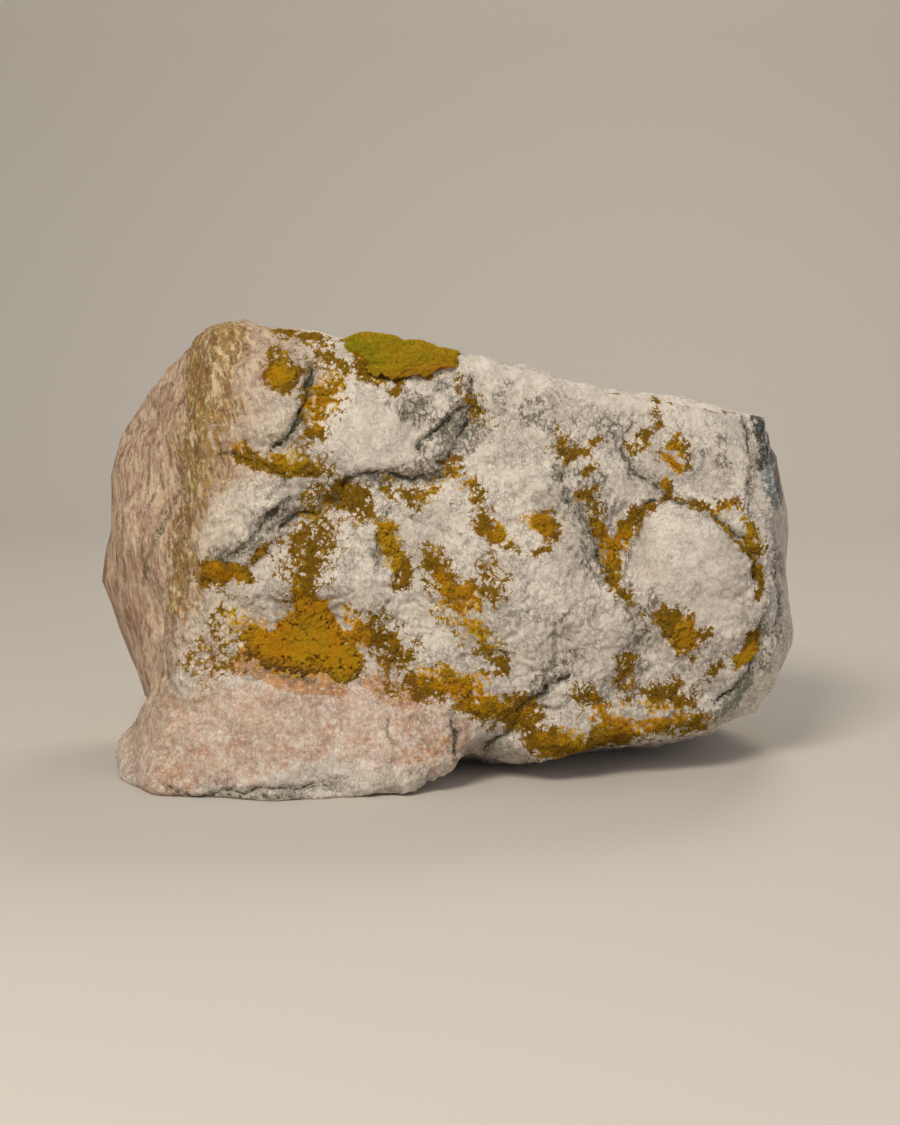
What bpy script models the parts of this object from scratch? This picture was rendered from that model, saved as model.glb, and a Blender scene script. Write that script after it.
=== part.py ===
"""A mossy boulder: one weathered granite stone, and the moss that grows on it as separate pads.

The stone lies on its flattened underside. +X runs along its length, towards the low end, and the
broad face with the moss looks along -Y. Metres, +Z up.
"""

import math
from dataclasses import dataclass

import bmesh
import bpy
import numpy as np
from mathutils import Vector, noise
from mathutils.bvhtree import BVHTree

# The block of the stone, as the corners between its fracture faces.
TOP_CORNERS = (
    (-0.228, -0.095, 0.436),
    (-0.234, 0.050, 0.424),
    (-0.200, 0.125, 0.388),
    (0.000, -0.128, 0.406),
    (0.040, 0.145, 0.338),
    (0.150, -0.112, 0.371),
    (0.312, -0.060, 0.342),
    (0.290, 0.080, 0.302),
)
LEFT_CORNERS = (
    (-0.300, 0.010, 0.376),
    (-0.344, 0.030, 0.302),
    (-0.358, 0.035, 0.175),
    (-0.322, 0.020, 0.070),
    (-0.300, 0.130, 0.240),
    (-0.285, 0.060, -0.012),
)
FRONT_CORNERS = (
    (-0.232, -0.146, 0.330),
    (-0.250, -0.162, 0.170),
    (-0.262, -0.160, 0.060),
    (0.000, -0.160, 0.230),
    (0.300, -0.094, 0.290),
    (0.306, -0.100, 0.120),
    (0.070, -0.152, 0.036),
    (0.242, -0.107, 0.042),
    (0.302, -0.040, 0.054),
)
RIGHT_CORNERS = (
    (0.331, 0.030, 0.272),
    (0.336, 0.000, 0.190),
    (0.336, 0.020, 0.105),
    (0.310, 0.100, 0.070),
)
BACK_CORNERS = (
    (-0.110, 0.183, 0.215),
    (0.150, 0.183, 0.180),
    (0.295, 0.135, 0.180),
    (0.250, 0.130, -0.012),
    (0.080, 0.170, -0.012),
    (-0.230, 0.140, -0.012),
)
BASE_CORNERS = (
    (0.050, -0.030, -0.012),
    (0.150, 0.040, -0.012),
)

# The toe: the foot of the stone that flares out at the lower left.
TOE_CORNERS = (
    (-0.336, -0.095, 0.024),
    (-0.326, -0.125, -0.012),
    (-0.290, -0.180, -0.012),
    (-0.206, -0.198, -0.012),
    (-0.135, -0.198, -0.012),
    (-0.098, -0.192, 0.006),
    (0.000, -0.176, 0.026),
    (-0.266, -0.170, 0.112),
    (-0.150, -0.176, 0.108),
    (-0.040, -0.172, 0.092),
    (0.030, -0.162, 0.066),
    (0.000, 0.050, -0.012),
    (0.000, 0.050, 0.090),
    (-0.270, 0.050, -0.012),
    (-0.270, 0.020, 0.090),
)

# How finely the block is worked, how far its arrises are worn round, and the faces it keeps.
VOXEL = 0.0065
ROUNDING_STEPS = 3
STONE_SHARE = 0.090

# How far the relief itself is worn, as a share.
LAST_WEAR = 0.4

# The stone's weathering: the wavelength and the depth of each size of relief.
BROAD_WAVE, BROAD_DEPTH = 0.160, 0.0050
PLATE_WAVE, PLATE_DEPTH = 0.080, 0.0100
ROUGH_WAVE, ROUGH_DEPTH = 0.030, 0.0026
PLATE_LEVELS = 2.5
PLATE_STEP = (0.30, 0.70)

# How the finer sizes of the relief build up: roughness, spread of the waves and how many there are.
FINENESS = 2.1
PLATE_ROUGHNESS, PLATE_OCTAVES = 1.0, 2
ROUGH_ROUGHNESS, ROUGH_OCTAVES, ROUGH_OFFSET, ROUGH_GAIN = 0.9, 3, 1.0, 2.0

# A swell fades out this far off its face, and where the stone turns away from it.
SWELL_FADE = (0.09, 0.14)
SWELL_FACING = (0.1, 0.6)

# A crack strays from its route over this wavelength, by this share of its width.
STRAY_WAVE, STRAY_SHARE = 0.020, 0.5

# The clear space kept between the moss and the stone, and how deep a pad's blank starts.
MOSS_GAP = 0.0005
MOSS_ROOT = 0.009

# The thickness that a pad keeps at its rim, and how high over the stone its outline is dropped from.
RIM_SHARE = 0.34
EYE_HEIGHT = 0.15

# A pad's rim strays in broad and in narrow lobes: how many, how far, and what tells the pads apart.
BROAD_LOBES, BROAD_LOBE_REACH = 1.3, 0.40
NARROW_LOBES, NARROW_LOBE_REACH = 2.7, 0.25
LOBE_SHIFT = 7.0

# Headings in degrees round +Z from +X.
FRONT, RIGHT, BACK = -90.0, 0.0, 90.0
SIDE_LEAN, TOP_LEAN = 5.0, 85.0

# How near the ground a point counts as on it, when the stone is cut level.
ON_THE_GROUND = 1e-5

# How the stone's edges are rounded before it is weathered.
ROUNDING = 0.5


@dataclass(frozen=True)
class Swell:
    """A rounded lump on a face of the stone, or a hollow where its rise is negative."""

    centre: tuple
    facing: float
    half_width: float
    half_height: float
    turn: float
    rise: float
    bluntness: float = 1.0
    lean: float = SIDE_LEAN


@dataclass(frozen=True)
class Crack:
    """A groove along a route over the stone, with its whole width and its depth."""

    route: tuple
    width: float
    depth: float


@dataclass(frozen=True)
class MossPad:
    """A pad of moss: its middle, its heading, its lean, its half sizes, its turn and its thickness."""

    name: str
    middle: tuple
    facing: float
    lean: float
    half_width: float
    half_height: float
    turn: float
    thickness: float
    rings: int = 2
    segments: int = 13


# The lumps and hollows of the mossy face, from its upper left to its lower right.
FRONT_SWELLS = (
    Swell((-0.172, -0.14, 0.358), FRONT, 0.036, 0.054, 10, 0.014, 0.5),
    Swell((-0.193, -0.15, 0.262), FRONT, 0.031, 0.068, -38, 0.022, 0.5),
    Swell((-0.062, -0.14, 0.342), FRONT, 0.084, 0.048, 14, 0.013, 0.5),
    Swell((0.008, -0.14, 0.340), FRONT, 0.020, 0.030, -20, -0.010, 1.0),
    Swell((0.110, -0.13, 0.300), FRONT, 0.075, 0.070, 0, 0.004, 1.5),
    Swell((0.158, -0.13, 0.235), FRONT, 0.026, 0.060, 25, -0.010, 1.2),
    Swell((0.236, -0.11, 0.198), FRONT, 0.070, 0.086, -15, 0.018, 0.5),
    Swell((0.100, -0.14, 0.166), FRONT, 0.072, 0.092, 12, 0.015, 0.7),
    Swell((-0.030, -0.16, 0.225), FRONT, 0.045, 0.060, 10, -0.006, 1.5),
    Swell((-0.140, -0.16, 0.152), FRONT, 0.088, 0.038, -8, -0.015, 1.1),
    Swell((0.170, -0.12, 0.055), FRONT, 0.110, 0.030, 5, 0.006, 1.0),
    Swell((0.322, -0.06, 0.115), -40.0, 0.035, 0.075, 0, 0.009, 0.8),
    Swell((0.322, -0.05, 0.290), -25.0, 0.030, 0.048, 0, -0.014, 0.9),
)
END_SWELLS = (
    Swell((-0.320, -0.04, 0.230), 208.0, 0.060, 0.120, -12, 0.010, 1.5),
    Swell((-0.290, -0.08, 0.120), 208.0, 0.028, 0.080, 0, -0.010, 1.2),
    Swell((-0.330, 0.10, 0.200), 165.0, 0.050, 0.090, 10, 0.012, 0.8),
    Swell((0.335, 0.06, 0.215), RIGHT, 0.055, 0.050, 0, 0.012, 0.8),
)
BACK_SWELLS = (
    Swell((-0.150, 0.18, 0.260), BACK, 0.110, 0.080, 15, 0.016, 0.6),
    Swell((0.130, 0.18, 0.160), BACK, 0.120, 0.075, -10, 0.018, 0.6),
    Swell((0.010, 0.18, 0.235), BACK, 0.060, 0.090, 20, -0.016, 1.2),
    Swell((-0.130, 0.17, 0.090), BACK, 0.090, 0.050, 0, -0.014, 1.2),
)
TOP_SWELLS = (
    Swell((-0.110, 0.030, 0.420), FRONT, 0.110, 0.060, 10, -0.012, 1.2, TOP_LEAN),
    Swell((0.120, -0.010, 0.370), FRONT, 0.120, 0.060, -15, -0.007, 1.0, TOP_LEAN),
    Swell((-0.020, 0.100, 0.370), FRONT, 0.070, 0.045, 20, 0.008, 0.7, TOP_LEAN),
    Swell((0.240, 0.020, 0.340), FRONT, 0.060, 0.050, 0, -0.008, 1.2, TOP_LEAN),
)

CRACK_BESIDE_HEAD = (
    (-0.137, -0.117, 0.402),
    (-0.135, -0.130, 0.372),
    (-0.151, -0.139, 0.338),
    (-0.165, -0.142, 0.322),
)
CRACK_UNDER_HEAD = (
    (-0.225, -0.143, 0.318),
    (-0.179, -0.143, 0.315),
    (-0.160, -0.145, 0.305),
    (-0.154, -0.147, 0.296),
)
STEP_UNDER_CHEEK = (
    (-0.154, -0.147, 0.296),
    (-0.163, -0.148, 0.280),
    (-0.182, -0.152, 0.243),
    (-0.205, -0.153, 0.226),
    (-0.227, -0.154, 0.214),
)
CRACK_UNDER_SLAB = (
    (-0.128, -0.151, 0.265),
    (-0.105, -0.150, 0.283),
    (-0.090, -0.147, 0.297),
    (-0.051, -0.148, 0.294),
    (-0.019, -0.147, 0.299),
    (-0.004, -0.140, 0.335),
)
CRACK_OVER_NOSE = (
    (-0.016, -0.138, 0.349),
    (0.016, -0.134, 0.360),
    (0.014, -0.132, 0.372),
)
CRACK_ROUND_DOME = (
    (0.153, -0.127, 0.229),
    (0.181, -0.119, 0.260),
    (0.211, -0.112, 0.272),
    (0.233, -0.108, 0.261),
    (0.257, -0.103, 0.244),
    (0.283, -0.099, 0.226),
    (0.294, -0.097, 0.205),
    (0.292, -0.099, 0.179),
)
CRACK_TO_DOME = (
    (0.158, -0.117, 0.318),
    (0.167, -0.117, 0.301),
    (0.186, -0.116, 0.285),
    (0.201, -0.113, 0.279),
)
CRACK_UNDER_BELLY = (
    (0.142, -0.132, 0.156),
    (0.119, -0.137, 0.130),
    (0.110, -0.140, 0.111),
    (0.085, -0.145, 0.091),
    (0.062, -0.150, 0.072),
    (0.045, -0.151, 0.055),
    (0.029, -0.155, 0.040),
)
CRACK_BEHIND_LIP = (
    (0.305, -0.095, 0.145),
    (0.297, -0.099, 0.117),
    (0.287, -0.098, 0.085),
    (0.263, -0.102, 0.058),
)
CRACK_IN_FOOT = (
    (0.001, -0.159, 0.079),
    (-0.003, -0.169, 0.051),
    (-0.002, -0.170, 0.030),
)
CRACK_IN_FLANK = (
    (-0.255, -0.110, 0.310),
    (-0.269, -0.093, 0.260),
    (-0.297, -0.056, 0.213),
    (-0.318, -0.022, 0.184),
    (-0.330, -0.009, 0.150),
)
CRACK_IN_BACK = (
    (-0.060, 0.195, 0.330),
    (-0.020, 0.195, 0.250),
    (-0.050, 0.195, 0.180),
    (0.000, 0.190, 0.100),
)
CRACK_IN_END = (
    (0.335, 0.030, 0.300),
    (0.340, 0.050, 0.230),
    (0.335, 0.080, 0.160),
    (0.325, 0.060, 0.100),
)
CRACK_IN_TOP = (
    (-0.190, -0.060, 0.432),
    (-0.120, 0.030, 0.418),
    (-0.100, 0.110, 0.395),
)
CRACKS = (
    Crack(CRACK_BESIDE_HEAD, 0.020, 0.012),
    Crack(CRACK_UNDER_HEAD, 0.018, 0.009),
    Crack(STEP_UNDER_CHEEK, 0.022, 0.013),
    Crack(CRACK_UNDER_SLAB, 0.022, 0.013),
    Crack(CRACK_OVER_NOSE, 0.018, 0.008),
    Crack(CRACK_ROUND_DOME, 0.018, 0.010),
    Crack(CRACK_TO_DOME, 0.016, 0.006),
    Crack(CRACK_UNDER_BELLY, 0.020, 0.011),
    Crack(CRACK_BEHIND_LIP, 0.018, 0.011),
    Crack(CRACK_IN_FOOT, 0.014, 0.008),
    Crack(CRACK_IN_FLANK, 0.016, 0.008),
    Crack(CRACK_IN_BACK, 0.024, 0.013),
    Crack(CRACK_IN_END, 0.022, 0.011),
    Crack(CRACK_IN_TOP, 0.022, 0.010),
)

MOSS_PADS = (
    MossPad("moss_cushion_top", (-0.052, -0.112, 0.405), FRONT, 58, 0.060, 0.034, -10, 0.021, 3, 18),
    MossPad("moss_pad_ledge", (-0.142, -0.150, 0.143), FRONT, 12, 0.072, 0.042, -14, 0.009, 3, 18),
    MossPad("moss_pad_foot", (0.150, -0.125, 0.062), FRONT, -8, 0.088, 0.021, 8, 0.006, 2, 20),
    MossPad("moss_pad_sill", (0.010, -0.150, 0.096), FRONT, 10, 0.054, 0.019, -22, 0.006, 2, 16),
    MossPad("moss_pad_middle", (0.012, -0.150, 0.165), FRONT, 4, 0.026, 0.044, 28, 0.005),
    MossPad("moss_pad_centre", (0.062, -0.145, 0.248), FRONT, 6, 0.036, 0.017, 0, 0.005),
    MossPad("moss_pad_valley", (0.152, -0.125, 0.222), FRONT, 4, 0.022, 0.036, 18, 0.006),
    MossPad("moss_pad_right", (0.218, -0.118, 0.143), FRONT, 0, 0.022, 0.021, 35, 0.005),
    MossPad("moss_streak", (-0.062, -0.150, 0.235), FRONT, 4, 0.013, 0.038, -5, 0.005),
    MossPad("moss_pad_nose", (-0.010, -0.140, 0.285), FRONT, 6, 0.034, 0.016, 30, 0.005),
    MossPad("moss_button", (-0.163, -0.128, 0.392), FRONT, 10, 0.014, 0.015, 0, 0.007),
    MossPad("moss_pad_gully", (-0.122, -0.130, 0.368), FRONT, 10, 0.019, 0.038, -12, 0.005),
    MossPad("moss_pad_step", (-0.213, -0.152, 0.207), FRONT, 4, 0.021, 0.012, -8, 0.005),
    MossPad("moss_pad_arc", (0.270, -0.105, 0.246), FRONT, 4, 0.032, 0.013, -42, 0.005),
    MossPad("moss_pad_lip", (0.284, -0.105, 0.118), FRONT, 0, 0.012, 0.024, -22, 0.005),
    MossPad("moss_pad_joint", (-0.165, -0.140, 0.316), FRONT, 6, 0.045, 0.011, -14, 0.005),
    MossPad("moss_pad_crown", (0.205, -0.110, 0.306), FRONT, 6, 0.013, 0.028, -12, 0.005),
    MossPad("moss_carpet_top", (-0.105, 0.030, 0.415), FRONT, 86, 0.085, 0.048, 12, 0.010, 3, 18),
    MossPad("moss_pad_top_low", (0.215, 0.010, 0.345), FRONT, 80, 0.055, 0.032, -10, 0.007, 2, 16),
    MossPad("moss_pad_back", (0.085, 0.170, 0.290), BACK, 25, 0.055, 0.026, 10, 0.007, 2, 16),
    MossPad("moss_pad_back_foot", (-0.120, 0.160, 0.090), BACK, 0, 0.060, 0.024, -8, 0.006, 2, 16),
)

GRANITE_COLOUR, GRANITE_ROUGHNESS = (0.62, 0.58, 0.53), 0.90
GREEN_MOSS_COLOUR, OCHRE_MOSS_COLOUR, MOSS_ROUGHNESS = (0.22, 0.24, 0.02), (0.38, 0.22, 0.03), 0.95


def clear_scene():
    """Removes what the startup scene holds."""
    for thing in list(bpy.data.objects):
        bpy.data.objects.remove(thing, do_unlink=True)


def add_hull(blocks, corners):
    """Adds the convex block between these corners to the bmesh."""
    points = [blocks.verts.new(corner) for corner in corners]
    made = bmesh.ops.convex_hull(blocks, input=points)
    loose = [thing for thing in made["geom_interior"] if isinstance(thing, bmesh.types.BMVert)]
    bmesh.ops.delete(blocks, geom=loose, context="VERTS")


def object_of(name, block):
    """A new object in the scene, whose mesh is this bmesh with its faces turned outwards."""
    bmesh.ops.recalc_face_normals(block, faces=block.faces)
    mesh = bpy.data.meshes.new(name)
    block.to_mesh(mesh)
    block.free()
    made = bpy.data.objects.new(name, mesh)
    bpy.context.scene.collection.objects.link(made)
    return made


def settle(thing):
    """Works an object's modifiers into its mesh."""
    bpy.context.view_layer.update()
    graph = bpy.context.evaluated_depsgraph_get()
    mesh = bpy.data.meshes.new_from_object(thing.evaluated_get(graph))
    thing.modifiers.clear()
    thing.data = mesh


def points_of(mesh):
    """The mesh's points, one row each."""
    found = np.empty(len(mesh.vertices) * 3)
    mesh.vertices.foreach_get("co", found)
    return found.reshape(-1, 3)


def normals_of(mesh):
    """The normals at the mesh's points, one row each."""
    found = np.empty(len(mesh.vertices) * 3)
    mesh.vertex_normals.foreach_get("vector", found)
    return found.reshape(-1, 3)


def move_points(mesh, points):
    """Puts the mesh's points at these places."""
    mesh.vertices.foreach_set("co", points.ravel())
    mesh.update()


def eased(value, low, high):
    """0 below low, 1 above high, and a smooth rise between them."""
    share = np.clip((value - low) / (high - low), 0.0, 1.0)
    return share * share * (3.0 - 2.0 * share)


def directions(facing, lean):
    """The unit vectors out of a face, level along it and up it, from its heading and its lean."""
    heading, tilt = math.radians(facing), math.radians(lean)
    level = np.array((-math.sin(heading), math.cos(heading), 0.0))
    out = np.array((math.cos(heading), math.sin(heading), 0.0)) * math.cos(tilt)
    out[2] = math.sin(tilt)
    return out, level, np.cross(out, level)


def swell_height(swell, points, normals):
    """How far one lump or hollow lifts each point."""
    out, level, up = directions(swell.facing, swell.lean)
    away = points - np.array(swell.centre)
    turn = math.radians(swell.turn)
    across, along = away @ level, away @ up
    u = (across * math.cos(turn) + along * math.sin(turn)) / swell.half_width
    v = (along * math.cos(turn) - across * math.sin(turn)) / swell.half_height
    bump = np.clip(1.0 - u * u - v * v, 0.0, 1.0) ** swell.bluntness
    near = 1.0 - eased(np.abs(away @ out), *SWELL_FADE)
    return swell.rise * bump * near * eased(normals @ out, *SWELL_FACING)


def distance_to_route(points, route):
    """Each point's distance to the nearest stretch of a route."""
    nearest = np.full(len(points), np.inf)
    for start, end in zip(route, route[1:]):
        start, run = np.array(start), np.array(end) - np.array(start)
        share = np.clip((points - start) @ run / (run @ run), 0.0, 1.0)
        nearest = np.minimum(nearest, np.linalg.norm(points - start - share[:, None] * run, axis=1))
    return nearest


def crack_depth(crack, points, stray):
    """How far one crack sinks each point."""
    half = crack.width / 2.0
    away = distance_to_route(points, crack.route) / half + stray
    return crack.depth * (1.0 - eased(away, 0.0, 1.0))


def plates(value):
    """Turns smooth relief into level plates with short steps between them."""
    scaled = value * PLATE_LEVELS
    base = np.floor(scaled)
    return (base + eased(scaled - base, *PLATE_STEP)) / PLATE_LEVELS


def relief_at(points):
    """The stone's natural unevenness at each point."""
    split_by = (PLATE_ROUGHNESS, FINENESS, PLATE_OCTAVES)
    rough_by = (ROUGH_ROUGHNESS, FINENESS, ROUGH_OCTAVES, ROUGH_OFFSET, ROUGH_GAIN)
    broad = np.array([noise.noise(Vector(p) / BROAD_WAVE) for p in points])
    split = np.array([noise.fractal(Vector(p) / PLATE_WAVE, *split_by) for p in points])
    rough = np.array([noise.ridged_multi_fractal(Vector(p) / ROUGH_WAVE, *rough_by) for p in points])
    return BROAD_DEPTH * broad + PLATE_DEPTH * plates(split) + ROUGH_DEPTH * (rough - ROUGH_OFFSET)


def weather(mesh):
    """Works the lumps, hollows, cracks and natural relief into the block."""
    points, normals = points_of(mesh), normals_of(mesh)
    swells = FRONT_SWELLS + END_SWELLS + BACK_SWELLS + TOP_SWELLS
    lift = sum(swell_height(swell, points, normals) for swell in swells)
    points = points + normals * lift[:, None]
    stray = np.array([STRAY_SHARE * noise.noise(Vector(p) / STRAY_WAVE) for p in points])
    sunk = np.maximum.reduce([crack_depth(crack, points, stray) for crack in CRACKS])
    move_points(mesh, points + normals * (relief_at(points) - sunk)[:, None])


def keep_largest_piece(mesh):
    """Drops the crumbs that a cut leaves beside the main piece."""
    block = bmesh.new()
    block.from_mesh(mesh)
    left, pieces = set(block.verts), []
    while left:
        piece, front = set(), {left.pop()}
        while front:
            piece |= front
            front = {edge.other_vert(v) for v in front for edge in v.link_edges} - piece
        left -= piece
        pieces.append(piece)
    largest = max(pieces, key=len)
    bmesh.ops.delete(block, geom=[v for v in block.verts if v not in largest], context="VERTS")
    block.to_mesh(mesh)
    block.free()


def cut_level(mesh):
    """Cuts the stone off level at the ground and closes it with one flat face."""
    block = bmesh.new()
    block.from_mesh(mesh)
    everything = block.verts[:] + block.edges[:] + block.faces[:]
    ground, down = (0.0, 0.0, 0.0), (0.0, 0.0, -1.0)
    bmesh.ops.bisect_plane(
        block, geom=everything, dist=ON_THE_GROUND, plane_co=ground, plane_no=down, clear_outer=True
    )
    rim = [edge for edge in block.edges if edge.is_boundary]
    bmesh.ops.edgeloop_fill(block, edges=rim)
    bmesh.ops.recalc_face_normals(block, faces=block.faces)
    block.to_mesh(mesh)
    block.free()
    keep_largest_piece(mesh)


def wear(stone, steps, share):
    """Grows what the stone is made of into one skin without folds, and rounds its edges."""
    one_skin = stone.modifiers.new("one_skin", "REMESH")
    one_skin.mode = "VOXEL"
    one_skin.voxel_size = VOXEL
    round_off = stone.modifiers.new("round_off", "SMOOTH")
    round_off.factor = share
    round_off.iterations = steps


def make_stone():
    """The stone: its block and its toe grown into one, worn, weathered and cut level."""
    blocks = bmesh.new()
    sides = LEFT_CORNERS + FRONT_CORNERS + RIGHT_CORNERS + BACK_CORNERS
    add_hull(blocks, TOP_CORNERS + sides + BASE_CORNERS)
    add_hull(blocks, TOE_CORNERS)
    stone = object_of("stone", blocks)
    wear(stone, ROUNDING_STEPS, ROUNDING)
    settle(stone)
    weather(stone.data)
    wear(stone, 1, LAST_WEAR)
    fewer = stone.modifiers.new("fewer_faces", "DECIMATE")
    fewer.ratio = STONE_SHARE
    fewer.use_collapse_triangulate = True
    settle(stone)
    cut_level(stone.data)
    stone.data.materials.append(surface("lichened_granite", GRANITE_COLOUR, GRANITE_ROUGHNESS))
    return stone


def make_moss_cutter(stone):
    """What shapes the underside of the moss: the stone, grown by the gap that is kept to it."""
    block = bmesh.new()
    block.from_mesh(stone.data)
    cutter = object_of("grown_stone", block)
    grow = cutter.modifiers.new("grow", "DISPLACE")
    grow.strength = MOSS_GAP
    grow.mid_level = 0.0
    settle(cutter)
    cutter.hide_render = True
    cutter.display_type = "WIRE"
    return cutter


def lobes(pad, angle):
    """How far a pad's rim reaches at an angle, as a share of its half sizes."""
    spot = Vector((math.cos(angle), math.sin(angle), LOBE_SHIFT * pad.middle[0])) * BROAD_LOBES
    narrow = noise.noise(spot * NARROW_LOBES)
    return 1.0 + BROAD_LOBE_REACH * noise.noise(spot) + NARROW_LOBE_REACH * narrow


class PadGrower:
    """Grows the blank of one moss pad on the ground under it, ring by ring."""

    def __init__(self, pad, ground):
        self.pad, self.ground = pad, ground
        self.out, level, up = (Vector(v) for v in directions(pad.facing, pad.lean))
        turn = math.radians(pad.turn)
        self.wide = (level * math.cos(turn) + up * math.sin(turn)) * pad.half_width
        self.high = (up * math.cos(turn) - level * math.sin(turn)) * pad.half_height

    def pair(self, share, angle):
        """The top and the root of the pad at this share of its reach and this angle."""
        reach = share * lobes(self.pad, angle)
        aside = self.wide * (reach * math.cos(angle)) + self.high * (reach * math.sin(angle))
        foot = self.ground.ray_cast(Vector(self.pad.middle) + aside + self.out * EYE_HEIGHT, -self.out)[0]
        crown = RIM_SHARE + (1.0 - RIM_SHARE) * math.sqrt(1.0 - share * share)
        return foot + self.out * (self.pad.thickness * crown), foot - self.out * MOSS_ROOT

    def grow(self):
        """The blank as a closed bmesh."""
        block = bmesh.new()
        crown, root = (block.verts.new(point) for point in self.pair(0.0, 0.0))
        rings = []
        for ring in range(1, self.pad.rings + 1):
            angles = [2.0 * math.pi * k / self.pad.segments for k in range(self.pad.segments)]
            pairs = [self.pair(ring / self.pad.rings, angle) for angle in angles]
            rings.append([[block.verts.new(pair[side]) for pair in pairs] for side in (0, 1)])
        for k in range(self.pad.segments):
            n = (k + 1) % self.pad.segments
            block.faces.new((crown, rings[0][0][k], rings[0][0][n]))
            block.faces.new((root, rings[0][1][n], rings[0][1][k]))
            block.faces.new((rings[-1][0][k], rings[-1][1][k], rings[-1][1][n], rings[-1][0][n]))
            for inner, outer in zip(rings, rings[1:]):
                block.faces.new((inner[0][k], outer[0][k], outer[0][n], inner[0][n]))
                block.faces.new((inner[1][n], outer[1][n], outer[1][k], inner[1][k]))
        bmesh.ops.triangulate(block, faces=block.faces)
        return block


def make_moss(pad, ground, cutter, finish):
    """One pad of moss that follows the stone under it and stays just clear of it."""
    moss = object_of(pad.name, PadGrower(pad, ground).grow())
    cut = moss.modifiers.new("follow_the_stone", "BOOLEAN")
    cut.operation = "DIFFERENCE"
    cut.object = cutter
    settle(moss)
    keep_largest_piece(moss.data)
    moss.data.materials.clear()
    moss.data.materials.append(finish)
    return moss


def surface(name, colour, roughness):
    """A material of one colour."""
    made = bpy.data.materials.new(name)
    made.use_nodes = True
    shader = made.node_tree.nodes["Principled BSDF"]
    shader.inputs["Base Color"].default_value = (*colour, 1.0)
    shader.inputs["Roughness"].default_value = roughness
    return made


def centre_over_origin(things):
    """Moves everything level, so that the middle of the whole object's base is the origin."""
    points = np.vstack([points_of(thing.data) for thing in things])
    middle = (points.min(axis=0) + points.max(axis=0)) / 2.0
    middle[2] = 0.0
    for thing in things:
        move_points(thing.data, points_of(thing.data) - middle)


def main():
    """Builds the stone, then the moss on it."""
    clear_scene()
    stone = make_stone()
    ground = BVHTree.FromObject(stone, bpy.context.evaluated_depsgraph_get())
    cutter = make_moss_cutter(stone)
    green = surface("green_moss", GREEN_MOSS_COLOUR, MOSS_ROUGHNESS)
    ochre = surface("ochre_moss", OCHRE_MOSS_COLOUR, MOSS_ROUGHNESS)
    moss = [make_moss(pad, ground, cutter, green if "top" in pad.name else ochre) for pad in MOSS_PADS]
    bpy.data.objects.remove(cutter, do_unlink=True)
    centre_over_origin([stone, *moss])


main()
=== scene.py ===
"""The looks of a mossy granite boulder: its weathered stone, its moss, and a plain pale studio round it.

The stone lies on its flat underside, +X along its length towards the low end. The mossy face looks
along -Y. All lengths are in metres unless a name ends in mm.
"""

import logging
import math
from dataclasses import dataclass, field
from enum import Enum

import bmesh
import bpy
import numpy as np
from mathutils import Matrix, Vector, noise
from mathutils.bvhtree import BVHTree


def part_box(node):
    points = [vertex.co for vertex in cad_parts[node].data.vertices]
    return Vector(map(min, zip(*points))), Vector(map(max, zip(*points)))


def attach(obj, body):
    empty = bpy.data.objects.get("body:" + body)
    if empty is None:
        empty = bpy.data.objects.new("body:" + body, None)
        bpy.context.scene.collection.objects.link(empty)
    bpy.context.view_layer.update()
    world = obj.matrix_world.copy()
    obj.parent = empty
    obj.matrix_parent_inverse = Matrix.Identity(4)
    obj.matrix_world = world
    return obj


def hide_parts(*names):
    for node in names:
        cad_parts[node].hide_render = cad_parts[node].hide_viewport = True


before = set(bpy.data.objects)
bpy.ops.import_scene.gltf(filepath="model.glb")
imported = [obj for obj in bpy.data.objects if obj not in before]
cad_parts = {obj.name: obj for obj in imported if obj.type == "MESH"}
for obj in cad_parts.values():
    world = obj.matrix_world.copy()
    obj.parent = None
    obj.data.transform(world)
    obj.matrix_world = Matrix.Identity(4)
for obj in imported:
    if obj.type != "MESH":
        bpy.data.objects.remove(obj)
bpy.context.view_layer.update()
BODY = "root"
LOG = logging.getLogger("mossy_boulder")
NOISE_SEED = 7
"""Fixes the offsets of Blender's noise vectors, which otherwise change with the clock."""
CUSHION_NODE = "moss_cushion_top"
PAD_NODES = tuple(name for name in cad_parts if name.startswith("moss") and name != CUSHION_NODE)
SPLIT_X = 0.02
"""Where the moss of the mossy face is split into a left and a right piece."""


def linear(red: int, green: int, end_shade_blue: int) -> tuple[float, float, float, float]:
    """A screen colour as the shader's linear colour.

    Args:
        red, green, blue: the colour as it shows on a screen, from 0 to 255.

    Returns:
        The four numbers that a colour socket takes.
    """
    shares = (value / 255.0 for value in (red, green, end_shade_blue))
    return (*(v / 12.92 if v <= 0.04045 else ((v + 0.055) / 1.055) ** 2.4 for v in shares), 1.0)


def eased(value: np.ndarray, low: float, high: float) -> np.ndarray:
    """0 below low, 1 above high, and a smooth rise between them."""
    share = np.clip((value - low) / (high - low), 0.0, 1.0)
    return share * share * (3.0 - 2.0 * share)


def distance_to_route(points: np.ndarray, route: tuple) -> np.ndarray:
    """How far each point is from the nearest stretch of a route.

    Args:
        points: one point a row, with as many coordinates as the route's.
        route: the route's own points, one or more.

    Returns:
        One distance for each point.
    """
    if len(route) == 1:
        return np.linalg.norm(points - np.array(route[0]), axis=1)
    nearest = np.full(len(points), np.inf)
    for start, end in zip(route, route[1:]):
        start, run = np.array(start), np.array(end) - np.array(start)
        share = np.clip((points - start) @ run / (run @ run), 0.0, 1.0)
        nearest = np.minimum(nearest, np.linalg.norm(points - start - share[:, None] * run, axis=1))
    return nearest


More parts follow.
